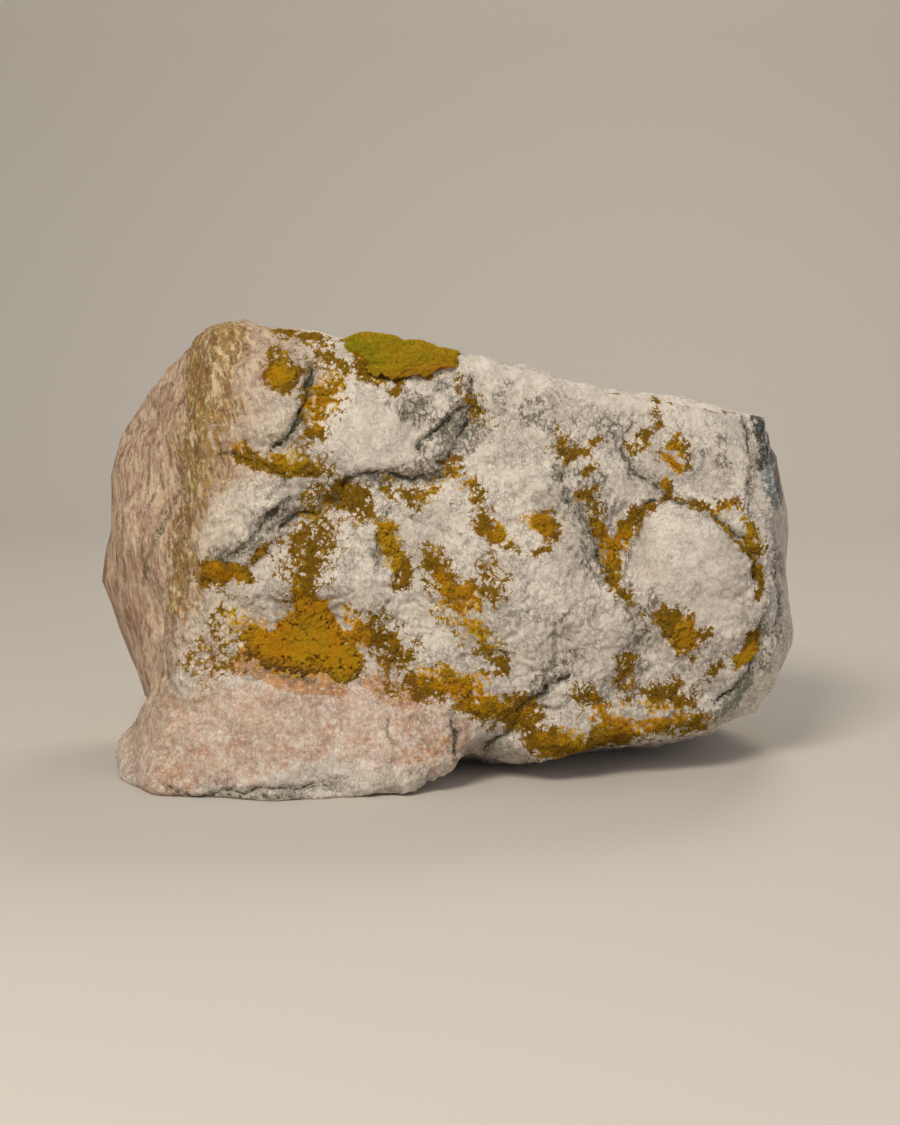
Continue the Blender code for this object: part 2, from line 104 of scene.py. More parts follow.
def smooth_noise(points: np.ndarray, wave: float, octaves: int = 1, shift: float = 0.0) -> np.ndarray:
    """Fractal noise of a wavelength at each point, about -1 to 1.

    Args:
        points: one point a row.
        wave: the longest wavelength.
        octaves: how many halvings of the wavelength are added.
        shift: moves the pattern, so that two of one wavelength differ.

    Returns:
        One value for each point.
    """
    places = points / wave + shift
    if octaves == 1:
        return np.array([noise.noise(Vector(place)) for place in places])
    return np.array([noise.fractal(Vector(place), 0.9, 2.1, octaves) for place in places])


def strayed(points: np.ndarray, wave: float, reach: float) -> np.ndarray:
    """The points pushed aside by noise, so that what is drawn through them wanders."""
    aside = np.array([noise.noise_vector(Vector(place)) for place in points / wave])
    return points + aside * reach


class MeshTools:
    """Small steps on meshes that several pieces share."""

    @staticmethod
    def points(mesh: bpy.types.Mesh) -> np.ndarray:
        """The mesh's points, one row each."""
        found = np.empty(len(mesh.vertices) * 3, dtype=np.float32)
        mesh.vertices.foreach_get("co", found)
        return found.reshape(-1, 3).astype(np.float64)

    @staticmethod
    def normals(mesh: bpy.types.Mesh) -> np.ndarray:
        """The normals at the mesh's points, one row each."""
        found = np.empty(len(mesh.vertices) * 3, dtype=np.float32)
        mesh.vertex_normals.foreach_get("vector", found)
        return found.reshape(-1, 3).astype(np.float64)

    @staticmethod
    def move(mesh: bpy.types.Mesh, points: np.ndarray) -> None:
        """Puts the mesh's points at these places."""
        mesh.vertices.foreach_set("co", points.astype(np.float32).ravel())
        mesh.update()

    @staticmethod
    def store(mesh: bpy.types.Mesh, name: str, values: np.ndarray) -> None:
        """Keeps one number for each point under this name.

        Args:
            mesh: the mesh that gets the numbers.
            name: what materials and node trees read them by.
            values: one number for each point.
        """
        kept = mesh.attributes.get(name) or mesh.attributes.new(name, "FLOAT", "POINT")
        kept.data.foreach_set("value", values.astype(np.float32))

    @staticmethod
    def read(mesh: bpy.types.Mesh, name: str) -> np.ndarray:
        """The numbers that the mesh keeps for its points under this name."""
        found = np.empty(len(mesh.vertices), dtype=np.float32)
        mesh.attributes[name].data.foreach_get("value", found)
        return found.astype(np.float64)

    @staticmethod
    def object_of(name: str, mesh: bpy.types.Mesh) -> bpy.types.Object:
        """A new object in the scene that holds this mesh."""
        made = bpy.data.objects.new(name, mesh)
        bpy.context.scene.collection.objects.link(made)
        return made

    @staticmethod
    def settle(thing: bpy.types.Object) -> bpy.types.Mesh:
        """Works an object's modifiers into a plain mesh and takes them off.

        Args:
            thing: the object, which keeps the new mesh.

        Returns:
            The new mesh.
        """
        bpy.context.view_layer.update()
        graph = bpy.context.evaluated_depsgraph_get()
        mesh = bpy.data.meshes.new_from_object(thing.evaluated_get(graph))
        mesh.name = thing.name
        thing.modifiers.clear()
        thing.data = mesh
        return mesh

    @staticmethod
    def merged_copy(node: str) -> bpy.types.Mesh:
        """A copy of a CAD node's mesh with its loose triangles joined."""
        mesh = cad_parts[node].data.copy()
        block = bmesh.new()
        block.from_mesh(mesh)
        bmesh.ops.remove_doubles(block, verts=block.verts, dist=1e-6)
        block.to_mesh(mesh)
        block.free()
        mesh.materials.clear()
        return mesh

    @staticmethod
    def reskin(thing: bpy.types.Object, grain: float, smoothings: int) -> bpy.types.Mesh:
        """Gives an object an even skin of small faces and rounds its facets off.

        Args:
            thing: the object.
            grain: the side of the new faces.
            smoothings: how many rounds of smoothing follow.

        Returns:
            The new mesh.
        """
        skin = thing.modifiers.new("even skin", "REMESH")
        skin.mode = "VOXEL"
        skin.voxel_size = grain
        rounds = thing.modifiers.new("rounding", "SMOOTH")
        rounds.factor = 0.5
        rounds.iterations = smoothings
        return MeshTools.settle(thing)

    @staticmethod
    def triangles(mesh: bpy.types.Mesh) -> int:
        """How many triangles the mesh comes to."""
        return sum(len(face.vertices) - 2 for face in mesh.polygons)


def adopt(piece: bpy.types.Object, slot: "Slot", *nodes: str) -> None:
    """Makes a finished mesh a piece of the object.

    Args:
        piece: the piece, in place.
        slot: not used.
        nodes: the CAD nodes that it stands for.
    """
    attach(piece, BODY)
    if nodes:
        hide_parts(*nodes)
    LOG.info("%s: %d triangles", piece.name, MeshTools.triangles(piece.data))


class Slot(Enum):
    """The record's material slots."""

    GRANITE = "granite"
    OCHRE_MOSS = "ochre_moss"
    GREEN_MOSS = "green_moss"


class Region(Enum):
    """The names under which the stone's mesh keeps one number for each point."""

    MOSS = "moss"
    PAD = "pad_height"
    HOLLOW = "hollow"
    RELIEF = "relief"
    PINK = "pink"
    OLIVE = "olive"
    RUST = "rust"
    BLUE = "end_shade_blue"
    TEAL = "teal"
    DARK = "dark"
    CALM = "calm"
    WRINKLE = "wrinkle"
    FLANK = "flank"
    NEAR_CRACK = "near_crack"


@dataclass(frozen=True)
class Growth:
    """A mat of moss on the front: its route as x and z, how far it reaches, and how densely it grows."""

    name: str
    route: tuple
    reach: float
    strength: float


@dataclass(frozen=True)
class StainOrShade:
    """A colour or a painted shade on the stone: its route in space, how far it reaches and how strong it is."""

    region: Region
    route: tuple
    reach: float
    strength: float


@dataclass(frozen=True)
class Fissure:
    """A crack in the stone: its name, its route, its half width and its depth."""

    name: str
    route: tuple
    half_width_mm: float
    depth_mm: float


# Where moss grows on the mossy face, as x and z, with how far it reaches and how densely it grows.
GROWTHS = (
    Growth("button", ((-0.150, 0.394),), 0.013, 1.1),
    Growth("speck", ((-0.112, 0.414),), 0.007, 0.7),
    Growth("gully", ((-0.111, 0.403), (-0.103, 0.382), (-0.117, 0.363)), 0.016, 0.62),
    Growth("square", ((-0.123, 0.339),), 0.009, 0.95),
    Growth("joint", ((-0.193, 0.317), (-0.167, 0.310), (-0.141, 0.306), (-0.121, 0.303)), 0.008, 0.85),
    Growth("joint_lace", ((-0.132, 0.321), (-0.109, 0.303), (-0.112, 0.274)), 0.019, 0.5),
    Growth("slab_crack", ((-0.093, 0.282), (-0.078, 0.274), (-0.074, 0.260)), 0.0107, 0.85),
    Growth("slab_under", ((-0.053, 0.284), (-0.034, 0.278), (-0.011, 0.282)), 0.014, 0.62),
    Growth("streak", ((-0.054, 0.248), (-0.050, 0.229), (-0.046, 0.210), (-0.044, 0.200)), 0.0074, 0.9),
    Growth("under_cheek", ((-0.222, 0.208), (-0.204, 0.204), (-0.188, 0.208)), 0.009, 0.86),
    Growth("under_cheek_tip", ((-0.180, 0.225), (-0.165, 0.233)), 0.007, 0.7),
    Growth("column", ((-0.114, 0.260), (-0.125, 0.232), (-0.133, 0.198), (-0.135, 0.170)), 0.023, 0.66),
    Growth("column_core", ((-0.128, 0.217), (-0.133, 0.179)), 0.011, 0.85),
    Growth("rim_band", ((-0.158, 0.430), (-0.131, 0.428), (-0.096, 0.426)), 0.006, 0.9),
    Growth("cushion_fringe", ((-0.066, 0.393), (-0.044, 0.392), (-0.022, 0.396)), 0.01, 0.9),
    Growth("cushion_left", ((-0.083, 0.413), (-0.076, 0.403), (-0.063, 0.396)), 0.0075, 1.0),
    Growth("cushion_drip", ((-0.043, 0.388), (-0.042, 0.378)), 0.006, 0.9),
    Growth("rim_right", ((0.145, 0.372), (0.190, 0.364), (0.250, 0.357), (0.300, 0.352)), 0.002, 0.4),
    Growth("nose_lace", ((0.013, 0.375), (0.027, 0.368), (0.040, 0.351)), 0.011, 0.6),
    Growth("nose_foot", ((0.006, 0.303), (0.017, 0.293), (0.030, 0.280)), 0.010, 0.65),
    Growth("middle", ((-0.011, 0.213), (0.003, 0.197), (0.019, 0.189)), 0.0148, 0.85),
    Growth("middle_low", ((0.008, 0.179), (0.025, 0.160), (0.036, 0.136), (0.048, 0.126)), 0.0148, 0.66),
    Growth("middle_side", ((0.031, 0.217), (0.044, 0.189)), 0.0117, 0.59),
    Growth("centre_left", ((0.036, 0.255), (0.047, 0.244)), 0.0101, 0.81),
    Growth("centre_right", ((0.090, 0.260), (0.092, 0.241)), 0.0094, 0.9),
    Growth("centre_link", ((0.055, 0.236), (0.074, 0.229), (0.093, 0.227)), 0.0086, 0.62),
    Growth("centre_speck", ((0.027, 0.284), (0.034, 0.274)), 0.008, 0.8),
    Growth("upper", ((0.104, 0.330), (0.116, 0.316), (0.139, 0.324)), 0.008, 0.65),
    Growth("upper_dot", ((0.137, 0.302),), 0.005, 0.8),
    Growth("valley", ((0.134, 0.274), (0.144, 0.251), (0.155, 0.227), (0.160, 0.203)), 0.0088, 0.87),
    Growth("valley_right", ((0.186, 0.263), (0.179, 0.246), (0.170, 0.227)), 0.0074, 0.85),
    Growth("valley_low", ((0.163, 0.189), (0.176, 0.175), (0.180, 0.160)), 0.0088, 0.54),
    Growth("dome_line", ((0.186, 0.263), (0.200, 0.271), (0.216, 0.275)), 0.0048, 0.68),
    Growth("crown", ((0.219, 0.328), (0.226, 0.317)), 0.008, 0.67),
    Growth("crown_mid", ((0.207, 0.312), (0.222, 0.301), (0.232, 0.306)), 0.0072, 0.63),
    Growth("crown_low", ((0.208, 0.282), (0.200, 0.286)), 0.0064, 0.77),
    Growth("crown_dark", ((0.176, 0.322), (0.193, 0.328), (0.201, 0.347), (0.194, 0.358)), 0.0064, 0.56),
    Growth("arc", ((0.216, 0.275), (0.250, 0.258), (0.275, 0.236), (0.297, 0.216)), 0.0025, 0.76),
    Growth("arc_top", ((0.256, 0.263), (0.275, 0.271), (0.282, 0.255)), 0.0052, 0.66),
    Growth("arc_end", ((0.288, 0.244), (0.297, 0.229)), 0.0064, 0.64),
    Growth("right_small", ((0.296, 0.206), (0.300, 0.189), (0.296, 0.179)), 0.0056, 0.81),
    Growth("right_patch", ((0.208, 0.162), (0.225, 0.151), (0.229, 0.136)), 0.0109, 0.93),
    Growth("right_branch", ((0.244, 0.152), (0.246, 0.141)), 0.005, 0.7),
    Growth("lip", ((0.294, 0.139), (0.288, 0.122), (0.281, 0.112)), 0.0062, 0.87),
    Growth("lip_link", ((0.266, 0.114), (0.254, 0.102)), 0.008, 0.65),
    Growth("ledge", ((-0.181, 0.139), (-0.153, 0.134), (-0.123, 0.128), (-0.092, 0.122)), 0.011, 1.2),
    Growth("ledge_middle", ((-0.152, 0.147), (-0.130, 0.146), (-0.106, 0.134), (-0.086, 0.121)), 0.0105, 1.15),
    Growth("ledge_top", ((-0.130, 0.168), (-0.128, 0.149), (-0.113, 0.138)), 0.0145, 1.15),
    Growth("ledge_lace", ((-0.228, 0.136), (-0.205, 0.141), (-0.190, 0.160)), 0.024, 0.52),
    Growth("ledge_fringe", ((-0.077, 0.151), (-0.060, 0.141), (-0.047, 0.133)), 0.019, 0.72),
    Growth("sill", ((-0.025, 0.102), (-0.001, 0.097), (0.025, 0.088)), 0.0125, 0.9),
    Growth("sill_low", ((0.036, 0.083), (0.060, 0.075), (0.084, 0.062)), 0.0123, 0.87),
    Growth("foot", ((0.084, 0.044), (0.113, 0.040), (0.151, 0.040), (0.170, 0.046)), 0.014, 1.0),
    Growth("foot_up", ((0.127, 0.088), (0.141, 0.071), (0.151, 0.054)), 0.012, 0.72),
    Growth("foot_right", ((0.189, 0.044), (0.217, 0.054), (0.246, 0.056)), 0.013, 0.72),
    Growth("foot_right_up", ((0.193, 0.083), (0.212, 0.088), (0.236, 0.078)), 0.013, 0.62),
    Growth("brown_column", ((0.169, 0.120), (0.171, 0.102), (0.177, 0.083)), 0.011, 0.62),
    Growth("drips", ((-0.058, 0.097), (-0.038, 0.093)), 0.008, 0.5),
)


# The cracks of the mossy face, as x and z, with half width and depth in mm.
FISSURES = (
    Fissure("beside_head", ((-0.128, 0.399), (-0.125, 0.382), (-0.125, 0.366), (-0.134, 0.351), (-0.147, 0.332),
                            (-0.160, 0.321)), 2.2, 7),
    Fissure("joint", ((-0.193, 0.315), (-0.168, 0.313), (-0.152, 0.302), (-0.147, 0.293)), 1.8, 4),
    Fissure("under_head", ((-0.150, 0.291), (-0.160, 0.287), (-0.168, 0.279)), 1.6, 3),
    Fissure("under_cheek", ((-0.150, 0.274), (-0.169, 0.254), (-0.183, 0.235), (-0.198, 0.224),
                            (-0.214, 0.218)), 3.0, 6),
    Fissure("slab", ((-0.152, 0.253), (-0.132, 0.265), (-0.120, 0.263), (-0.101, 0.280), (-0.089, 0.293),
                     (-0.077, 0.302), (-0.057, 0.300), (-0.040, 0.295), (-0.021, 0.294), (-0.000, 0.301)), 2.6, 7),
    Fissure("nose_left", ((-0.024, 0.321), (-0.008, 0.344), (0.001, 0.353), (0.019, 0.359), (0.023, 0.365),
                          (0.024, 0.386)), 2.2, 6),
    Fissure("nose_right", ((0.023, 0.356), (0.018, 0.341), (0.004, 0.318), (-0.008, 0.308)), 2.0, 5),
    Fissure("above_nose", ((-0.043, 0.349), (-0.029, 0.360), (-0.015, 0.370), (-0.001, 0.382)), 1.4, 2.5),
    Fissure("to_dome", ((0.167, 0.318), (0.175, 0.299), (0.191, 0.289), (0.210, 0.278)), 1.6, 4),
    Fissure("dome", ((0.189, 0.264), (0.201, 0.271), (0.215, 0.276), (0.232, 0.269), (0.248, 0.256),
                     (0.272, 0.242), (0.287, 0.229), (0.295, 0.217), (0.297, 0.199)), 2.0, 6),
    Fissure("valley", ((0.111, 0.303), (0.116, 0.275), (0.135, 0.244), (0.147, 0.218), (0.152, 0.197)), 2.2, 4),
    Fissure("valley_right", ((0.170, 0.208), (0.181, 0.232), (0.186, 0.255)), 1.8, 3),
    Fissure("end_line", ((0.287, 0.347), (0.292, 0.309), (0.292, 0.278), (0.289, 0.256)), 1.8, 4),
    Fissure("belly", ((0.119, 0.111), (0.094, 0.096), (0.081, 0.081), (0.069, 0.066), (0.051, 0.046),
                      (0.038, 0.032)), 2.4, 7),
    Fissure("belly_up", ((0.094, 0.096), (0.101, 0.131), (0.104, 0.162)), 1.0, 2),
    Fissure("foot_crack", ((0.008, 0.083), (0.007, 0.063), (0.010, 0.037)), 2.2, 5),
    Fissure("lip", ((0.305, 0.152), (0.301, 0.129), (0.292, 0.103), (0.284, 0.088), (0.260, 0.072)), 2.6, 7),
    Fissure("lip_up", ((0.318, 0.189), (0.324, 0.173), (0.327, 0.154)), 2.0, 4),
    Fissure("toe_curl", ((-0.055, 0.071), (-0.047, 0.053), (-0.052, 0.031)), 0.5, 1.2),
    Fissure("toe_groove", ((-0.262, 0.005), (-0.232, 0.003), (-0.200, 0.005), (-0.170, 0.008), (-0.138, 0.010),
                           (-0.105, 0.015)), 2.2, 4),
    Fissure("toe_groove_low", ((-0.228, 0.001), (-0.202, -0.002), (-0.169, -0.001), (-0.134, 0.003)), 1.6, 3),
    Fissure("ledge_groove", ((-0.170, 0.121), (-0.162, 0.118), (-0.139, 0.111), (-0.122, 0.106)), 1.6, 3),
    Fissure("streak_side", ((-0.065, 0.217), (-0.060, 0.246), (-0.054, 0.270)), 2.0, 3),
)

# Cracks down the back, as x and z.
BACK_FISSURES = (
    Fissure("back", ((-0.050, 0.350), (-0.012, 0.285), (-0.040, 0.205), (0.010, 0.120), (0.000, 0.060)), 2.0, 6.0),
    Fissure("back_branch", ((-0.020, 0.265), (0.060, 0.235), (0.120, 0.245)), 1.4, 4.0),
    Fissure("back_low", ((-0.210, 0.150), (-0.150, 0.110), (-0.120, 0.060)), 1.6, 4.5),
)

# The hairline down the left flank, as x and z.
FLANK_HAIRLINE = Fissure(
    "flank_hairline",
    ((-0.254, 0.290), (-0.259, 0.268), (-0.270, 0.248), (-0.279, 0.229), (-0.289, 0.207), (-0.297, 0.180)),
    0.75, 2.6,
)
FAR_FISSURES = (
    Fissure("end_crack", ((0.345, 0.029, 0.300), (0.350, 0.049, 0.230), (0.345, 0.079, 0.160),
                          (0.335, 0.059, 0.100)),
            2.6, 6),
    Fissure("top_crack", ((-0.180, -0.061, 0.432), (-0.110, 0.029, 0.418), (-0.090, 0.109, 0.395)), 2.4, 5),
)

# Where the stone is smoother, takes another colour or gets painted shade, as x and z on the mossy face.
FACE_STAINS_AND_SHADE = (
    StainOrShade(Region.CALM, ((-0.100, 0.345), (-0.060, 0.340), (-0.030, 0.320)), 0.040, 1.0),
    StainOrShade(Region.CALM, ((0.215, 0.225), (0.240, 0.195)), 0.058, 0.8),
    StainOrShade(Region.CALM, ((-0.300, 0.040), (-0.200, 0.060), (-0.060, 0.060)), 0.060, 0.75),
    StainOrShade(Region.CALM, ((0.230, 0.340), (0.270, 0.330)), 0.040, 0.6),
    StainOrShade(Region.PINK, ((-0.270, 0.030), (-0.200, 0.060), (-0.100, 0.075), (-0.020, 0.055)), 0.060, 1.0),
    StainOrShade(Region.PINK, ((-0.265, 0.075), (-0.262, 0.035)), 0.030, 1.0),
    StainOrShade(Region.RUST, ((-0.196, 0.126), (-0.150, 0.113), (-0.104, 0.100)), 0.015, 1.25),
    StainOrShade(Region.RUST, ((-0.066, 0.104), (-0.048, 0.096), (-0.030, 0.092)), 0.016, 0.7),
    StainOrShade(Region.RUST, ((-0.262, 0.070), (-0.266, 0.035)), 0.034, 0.30),
    StainOrShade(Region.RUST, ((-0.215, 0.122), (-0.230, 0.100)), 0.022, 0.45),
    StainOrShade(Region.RUST, ((0.012, 0.052), (-0.030, 0.036)), 0.016, 0.5),
    # Painted shade on the recessed right end face: a slate-grey tone, and near-black in its deepest parts.
    StainOrShade(Region.BLUE, ((0.309, 0.330), (0.314, 0.305), (0.322, 0.270)), 0.020, 1.0),
    StainOrShade(Region.DARK, ((0.302, 0.346), (0.305, 0.322), (0.302, 0.300)), 0.010, 1.0),
    StainOrShade(Region.DARK, ((0.334, 0.285), (0.336, 0.262)), 0.012, 1.0),
    StainOrShade(Region.TEAL, ((0.240, 0.050), (0.275, 0.068), (0.296, 0.092)), 0.014, 0.9),
    StainOrShade(Region.TEAL, ((-0.065, 0.288), (-0.058, 0.290)), 0.010, 0.5),
    StainOrShade(Region.TEAL, ((0.006, 0.345), (0.014, 0.338)), 0.012, 0.4),
    StainOrShade(Region.WRINKLE, ((-0.035, 0.365), (0.000, 0.345), (0.020, 0.372), (0.022, 0.340),
                           (-0.005, 0.312)), 0.028, 1.0),
    StainOrShade(Region.WRINKLE, ((-0.110, 0.272), (-0.085, 0.296), (-0.040, 0.296), (-0.005, 0.300)), 0.016, 0.9),
    StainOrShade(Region.WRINKLE, ((0.108, 0.330), (0.125, 0.290), (0.140, 0.250), (0.152, 0.215)), 0.032, 0.9),
    StainOrShade(Region.WRINKLE, ((0.150, 0.330), (0.190, 0.345)), 0.022, 0.8),
    StainOrShade(Region.WRINKLE, ((0.119, 0.125), (0.090, 0.105), (0.060, 0.060)), 0.018, 0.9),
    StainOrShade(Region.WRINKLE, ((0.100, 0.165), (0.112, 0.130)), 0.020, 0.7),
    StainOrShade(Region.WRINKLE, ((-0.155, 0.262), (-0.185, 0.238), (-0.208, 0.222)), 0.018, 0.9),
    StainOrShade(Region.WRINKLE, ((-0.128, 0.390), (-0.126, 0.365), (-0.150, 0.335)), 0.014, 0.8),
    StainOrShade(Region.WRINKLE, ((0.315, 0.215), (0.325, 0.165), (0.305, 0.120)), 0.022, 0.8),
    StainOrShade(Region.WRINKLE, ((0.185, 0.180), (0.175, 0.130), (0.180, 0.090)), 0.022, 0.7),
    StainOrShade(Region.WRINKLE, ((-0.062, 0.250), (-0.055, 0.210)), 0.014, 0.7),
    StainOrShade(Region.WRINKLE, ((0.050, 0.375), (0.090, 0.345)), 0.020, 0.5),
    StainOrShade(Region.WRINKLE, ((0.235, 0.345), (0.275, 0.300)), 0.016, 0.5),
)

# The same on the rest of the stone, in space.
FAR_STAINS_AND_SHADE = (
    StainOrShade(Region.PINK, ((-0.280, -0.060, 0.360), (-0.300, -0.030, 0.270), (-0.305, -0.030, 0.180)), 0.190, 1.0),
    StainOrShade(Region.OLIVE, ((-0.222, -0.094, 0.425), (-0.224, -0.110, 0.375), (-0.230, -0.120, 0.315)), 0.068, 1.0),
    StainOrShade(Region.OLIVE, ((-0.230, -0.120, 0.315), (-0.238, -0.124, 0.250), (-0.245, -0.130, 0.180)), 0.046, 0.95),
    StainOrShade(Region.OLIVE, ((-0.230, -0.040, 0.428), (-0.218, -0.080, 0.430)), 0.030, 0.7),
    StainOrShade(Region.FLANK, ((-0.270, -0.060, 0.380), (-0.300, -0.030, 0.280), (-0.310, -0.030, 0.160)), 0.220, 1.4),
    StainOrShade(Region.FLANK, ((-0.240, -0.110, 0.400), (-0.250, -0.120, 0.300), (-0.258, -0.130, 0.180)), 0.060, 1.0),
    StainOrShade(Region.RUST, ((-0.290, -0.030, 0.330), (-0.300, -0.020, 0.300)), 0.022, 0.5),
    StainOrShade(Region.RUST, ((-0.320, 0.010, 0.200), (-0.322, 0.000, 0.160)), 0.026, 0.6),
    StainOrShade(Region.CALM, ((-0.300, -0.060, 0.320), (-0.310, -0.040, 0.220), (-0.300, -0.080, 0.100)), 0.080, 0.8),
    StainOrShade(Region.CALM, ((-0.220, -0.095, 0.432), (0.010, -0.120, 0.404), (0.160, -0.105, 0.368),
                        (0.322, -0.058, 0.345)), 0.024, 1.0),
    StainOrShade(Region.OLIVE, ((0.342, -0.015, 0.300), (0.350, 0.0, 0.270)), 0.034, 1.0),
    # Painted shade on the recessed right end face, on its side away from the mossy face.
    StainOrShade(Region.BLUE, ((0.320, -0.060, 0.335), (0.326, -0.050, 0.300)), 0.030, 0.8),
    StainOrShade(Region.DARK, ((0.338, -0.020, 0.290), (0.346, -0.005, 0.255)), 0.022, 0.9),
)


@dataclass
class Boulder:
    """The stone: an even skin over its plain solid, weathered by noise and cracked along its fissures."""

    node: str = "stone"
    grain: float = 0.0023
    smoothings: int = 12
    share_kept: int = 194000
    lump_wave: float = 0.026
    lump_depth: float = 0.0019
    crag_wave: float = 0.0135
    crag_depth: float = 0.0019
    grit_wave: float = 0.0052
    grit_depth: float = 0.0010
    fold_wave: float = 0.013
    fold_depth: float = 0.0026
    scarp_wave: float = 0.060
    scarp_steps: float = 5.0
    scarp_depth: float = 0.0026
    bulges: tuple = (
        ((0.316, -0.064, 0.342), 0.074, (-0.007, 0.0, 0.013)),
        ((-0.330, 0.030, 0.268), 0.085, (-0.009, 0.0, 0.0)),
    )
    """Where the skin stands out a little further than the plain solid: a middle, a reach and a shift."""
    bare_foot: tuple = (0.0005, 0.006)
    """Between which heights over the floor the weathering sets in."""
    larger_faces: tuple = (-0.06, 0.02)
    """Between which places along Y the stone's faces grow larger."""
    larger_faces_weight: float = 6.0
    face_core: float = 0.4
    """The share of a stain's reach over which it stays at full strength on the mossy face."""
    far_core: float = 0.15
    """The same on the rest of the stone."""
    crack_half: float = 0.0007
    """How far a crack's steep part reaches to each side, for each millimetre of its half width."""
    crack_shoulder: float = 0.004
    """How far its shallow shoulder reaches, for each millimetre."""
    crack_nearness: tuple = (0.0030, 0.0016)
    """How far its strands reach for each millimetre, and how much further."""
    pad_reach: float = 0.012
    """How far over the stone its pads are looked for."""
    pad_margin: float = 0.004
    """How far outside a pad's box the skin is still looked at."""
    fray: float = 0.52
    """How densely moss grows just outside its pads on the sides that look away from the mossy face."""
    fray_reach: float = 0.014
    """How far outside its pads it grows there."""
    skin: bpy.types.Object = field(default=None, init=False)
    """The finely meshed stone that the moss is grown from."""
    plain: np.ndarray = field(default=None, init=False)
    """The skin's points before the weathering."""

    def build(self) -> bpy.types.Object:
        """Makes the stone.

        Returns:
            The finished piece.
        """
        self.skin = MeshTools.object_of("skin", MeshTools.merged_copy(self.node))
        mesh = MeshTools.reskin(self.skin, self.grain, self.smoothings)
        self.plain = MeshTools.points(mesh)
        normals = MeshTools.normals(mesh)
        for middle, reach, shift in self.bulges:
            away = np.linalg.norm(self.plain - np.array(middle), axis=1)
            self.plain += (1.0 - eased(away, 0.0, reach))[:, None] * np.array(shift)
        for region in Region:
            if region not in (Region.MOSS, Region.PAD, Region.HOLLOW, Region.RELIEF, Region.NEAR_CRACK):
                MeshTools.store(mesh, region.value, self.spread(region, normals))
        calm = MeshTools.read(mesh, Region.CALM.value)
        wrinkled = MeshTools.read(mesh, Region.WRINKLE.value)
        sunk, near_crack = self.fissures(normals)
        MeshTools.store(mesh, Region.NEAR_CRACK.value, near_crack)
        relief = self.relief(calm, wrinkled)
        foot = eased(self.plain[:, 2], *self.bare_foot)
        moved = self.plain + normals * ((relief - sunk) * foot)[:, None]
        moved[:, 2] = np.maximum(moved[:, 2], 0.0)
        MeshTools.move(mesh, moved)
        MeshTools.store(mesh, Region.HOLLOW.value, eased(sunk, 0.0006, 0.004))
        MeshTools.store(mesh, Region.RELIEF.value, (relief - sunk) * foot)
        self.cover(mesh, normals)
        LOG.info("skin of the stone: %d triangles", MeshTools.triangles(mesh))
        stone = MeshTools.object_of("boulder", mesh.copy())
        thin = stone.modifiers.new("fewer faces", "DECIMATE")
        thin.ratio = min(1.0, self.share_kept / MeshTools.triangles(mesh))
        group = stone.vertex_groups.new(name="plain sides")
        behind = eased(self.plain[:, 1], *self.larger_faces)
        step = 0.25
        for share in (step, 2 * step, 3 * step, 4 * step):
            chosen = np.flatnonzero((behind > share - step) & (behind <= share))
            group.add(chosen.tolist(), share, "REPLACE")
        thin.vertex_group = group.name
        thin.vertex_group_factor = self.larger_faces_weight
        MeshTools.settle(stone)
        stone.vertex_groups.clear()
        return stone

    def on_face(self, normals: np.ndarray) -> np.ndarray:
        """1 on the mossy face, 0 on the sides that look away from it."""
        return eased(-normals[:, 1], 0.05, 0.35) * eased(-self.plain[:, 1], 0.0, 0.03)

    def spread(self, region: Region, normals: np.ndarray) -> np.ndarray:
        """How much of a region's colour or smoothness each point has, 0 to 1."""
        total = np.zeros(len(self.plain))
        wandering = strayed(self.plain, 0.035, 0.012)
        front = self.on_face(normals)
        for stain in FACE_STAINS_AND_SHADE:
            if stain.region is region:
                away = distance_to_route(wandering[:, [0, 2]], stain.route)
                faded = 1.0 - eased(away, self.face_core * stain.reach, stain.reach)
                total = np.maximum(total, stain.strength * front * faded)
        for stain in FAR_STAINS_AND_SHADE:
            if stain.region is region:
                away = distance_to_route(wandering, stain.route)
                faded = 1.0 - eased(away, self.far_core * stain.reach, stain.reach)
                total = np.maximum(total, stain.strength * faded)
        return total

    def fissures(self, normals: np.ndarray) -> tuple[np.ndarray, np.ndarray]:
        """How deep the cracks are at each point, and how near the closest is, 1 in its middle."""
        wandering = strayed(strayed(self.plain, 0.022, 0.006), 0.008, 0.0026)
        front = self.on_face(normals)
        widening = np.clip(0.95 + 1.5 * smooth_noise(self.plain, 0.016, 2, 3.0), 0.15, 2.2)
        sunk = np.zeros(len(self.plain))
        near = np.zeros(len(self.plain))
        flank = eased(-normals[:, 0], 0.2, 0.5) * eased(-self.plain[:, 1], -0.05, 0.0)
        back = eased(normals[:, 1], 0.2, 0.5) * eased(self.plain[:, 1], 0.02, 0.06)
        placed = [(fissure, front) for fissure in FISSURES]
        placed += [(fissure, back) for fissure in BACK_FISSURES]
        placed += [(fissure, 1.0) for fissure in FAR_FISSURES]
        placed += [(FLANK_HAIRLINE, flank)]
        strand_reach, strand_more = self.crack_nearness
        for fissure, shown in placed:
            flat = len(fissure.route[0]) == 2
            away = distance_to_route(wandering[:, [0, 2]] if flat else wandering, fissure.route)
            half = self.crack_half * fissure.half_width_mm * widening
            reach = strand_reach * fissure.half_width_mm + strand_more
            near = np.maximum(near, (1.0 - away / reach) * shown)
            share = np.clip(1.0 - away / np.maximum(half, 0.0005), 0.0, 1.0) ** 0.8
            wider = np.clip(1.0 - away / (self.crack_shoulder * fissure.half_width_mm), 0.0, 1.0) ** 1.6
            depth = 0.001 * fissure.depth_mm * (0.65 * share * np.minimum(widening, 1.0) + 0.35 * wider)
            sunk = np.maximum(sunk, depth * shown)
        return sunk, np.maximum(near, 0.0)

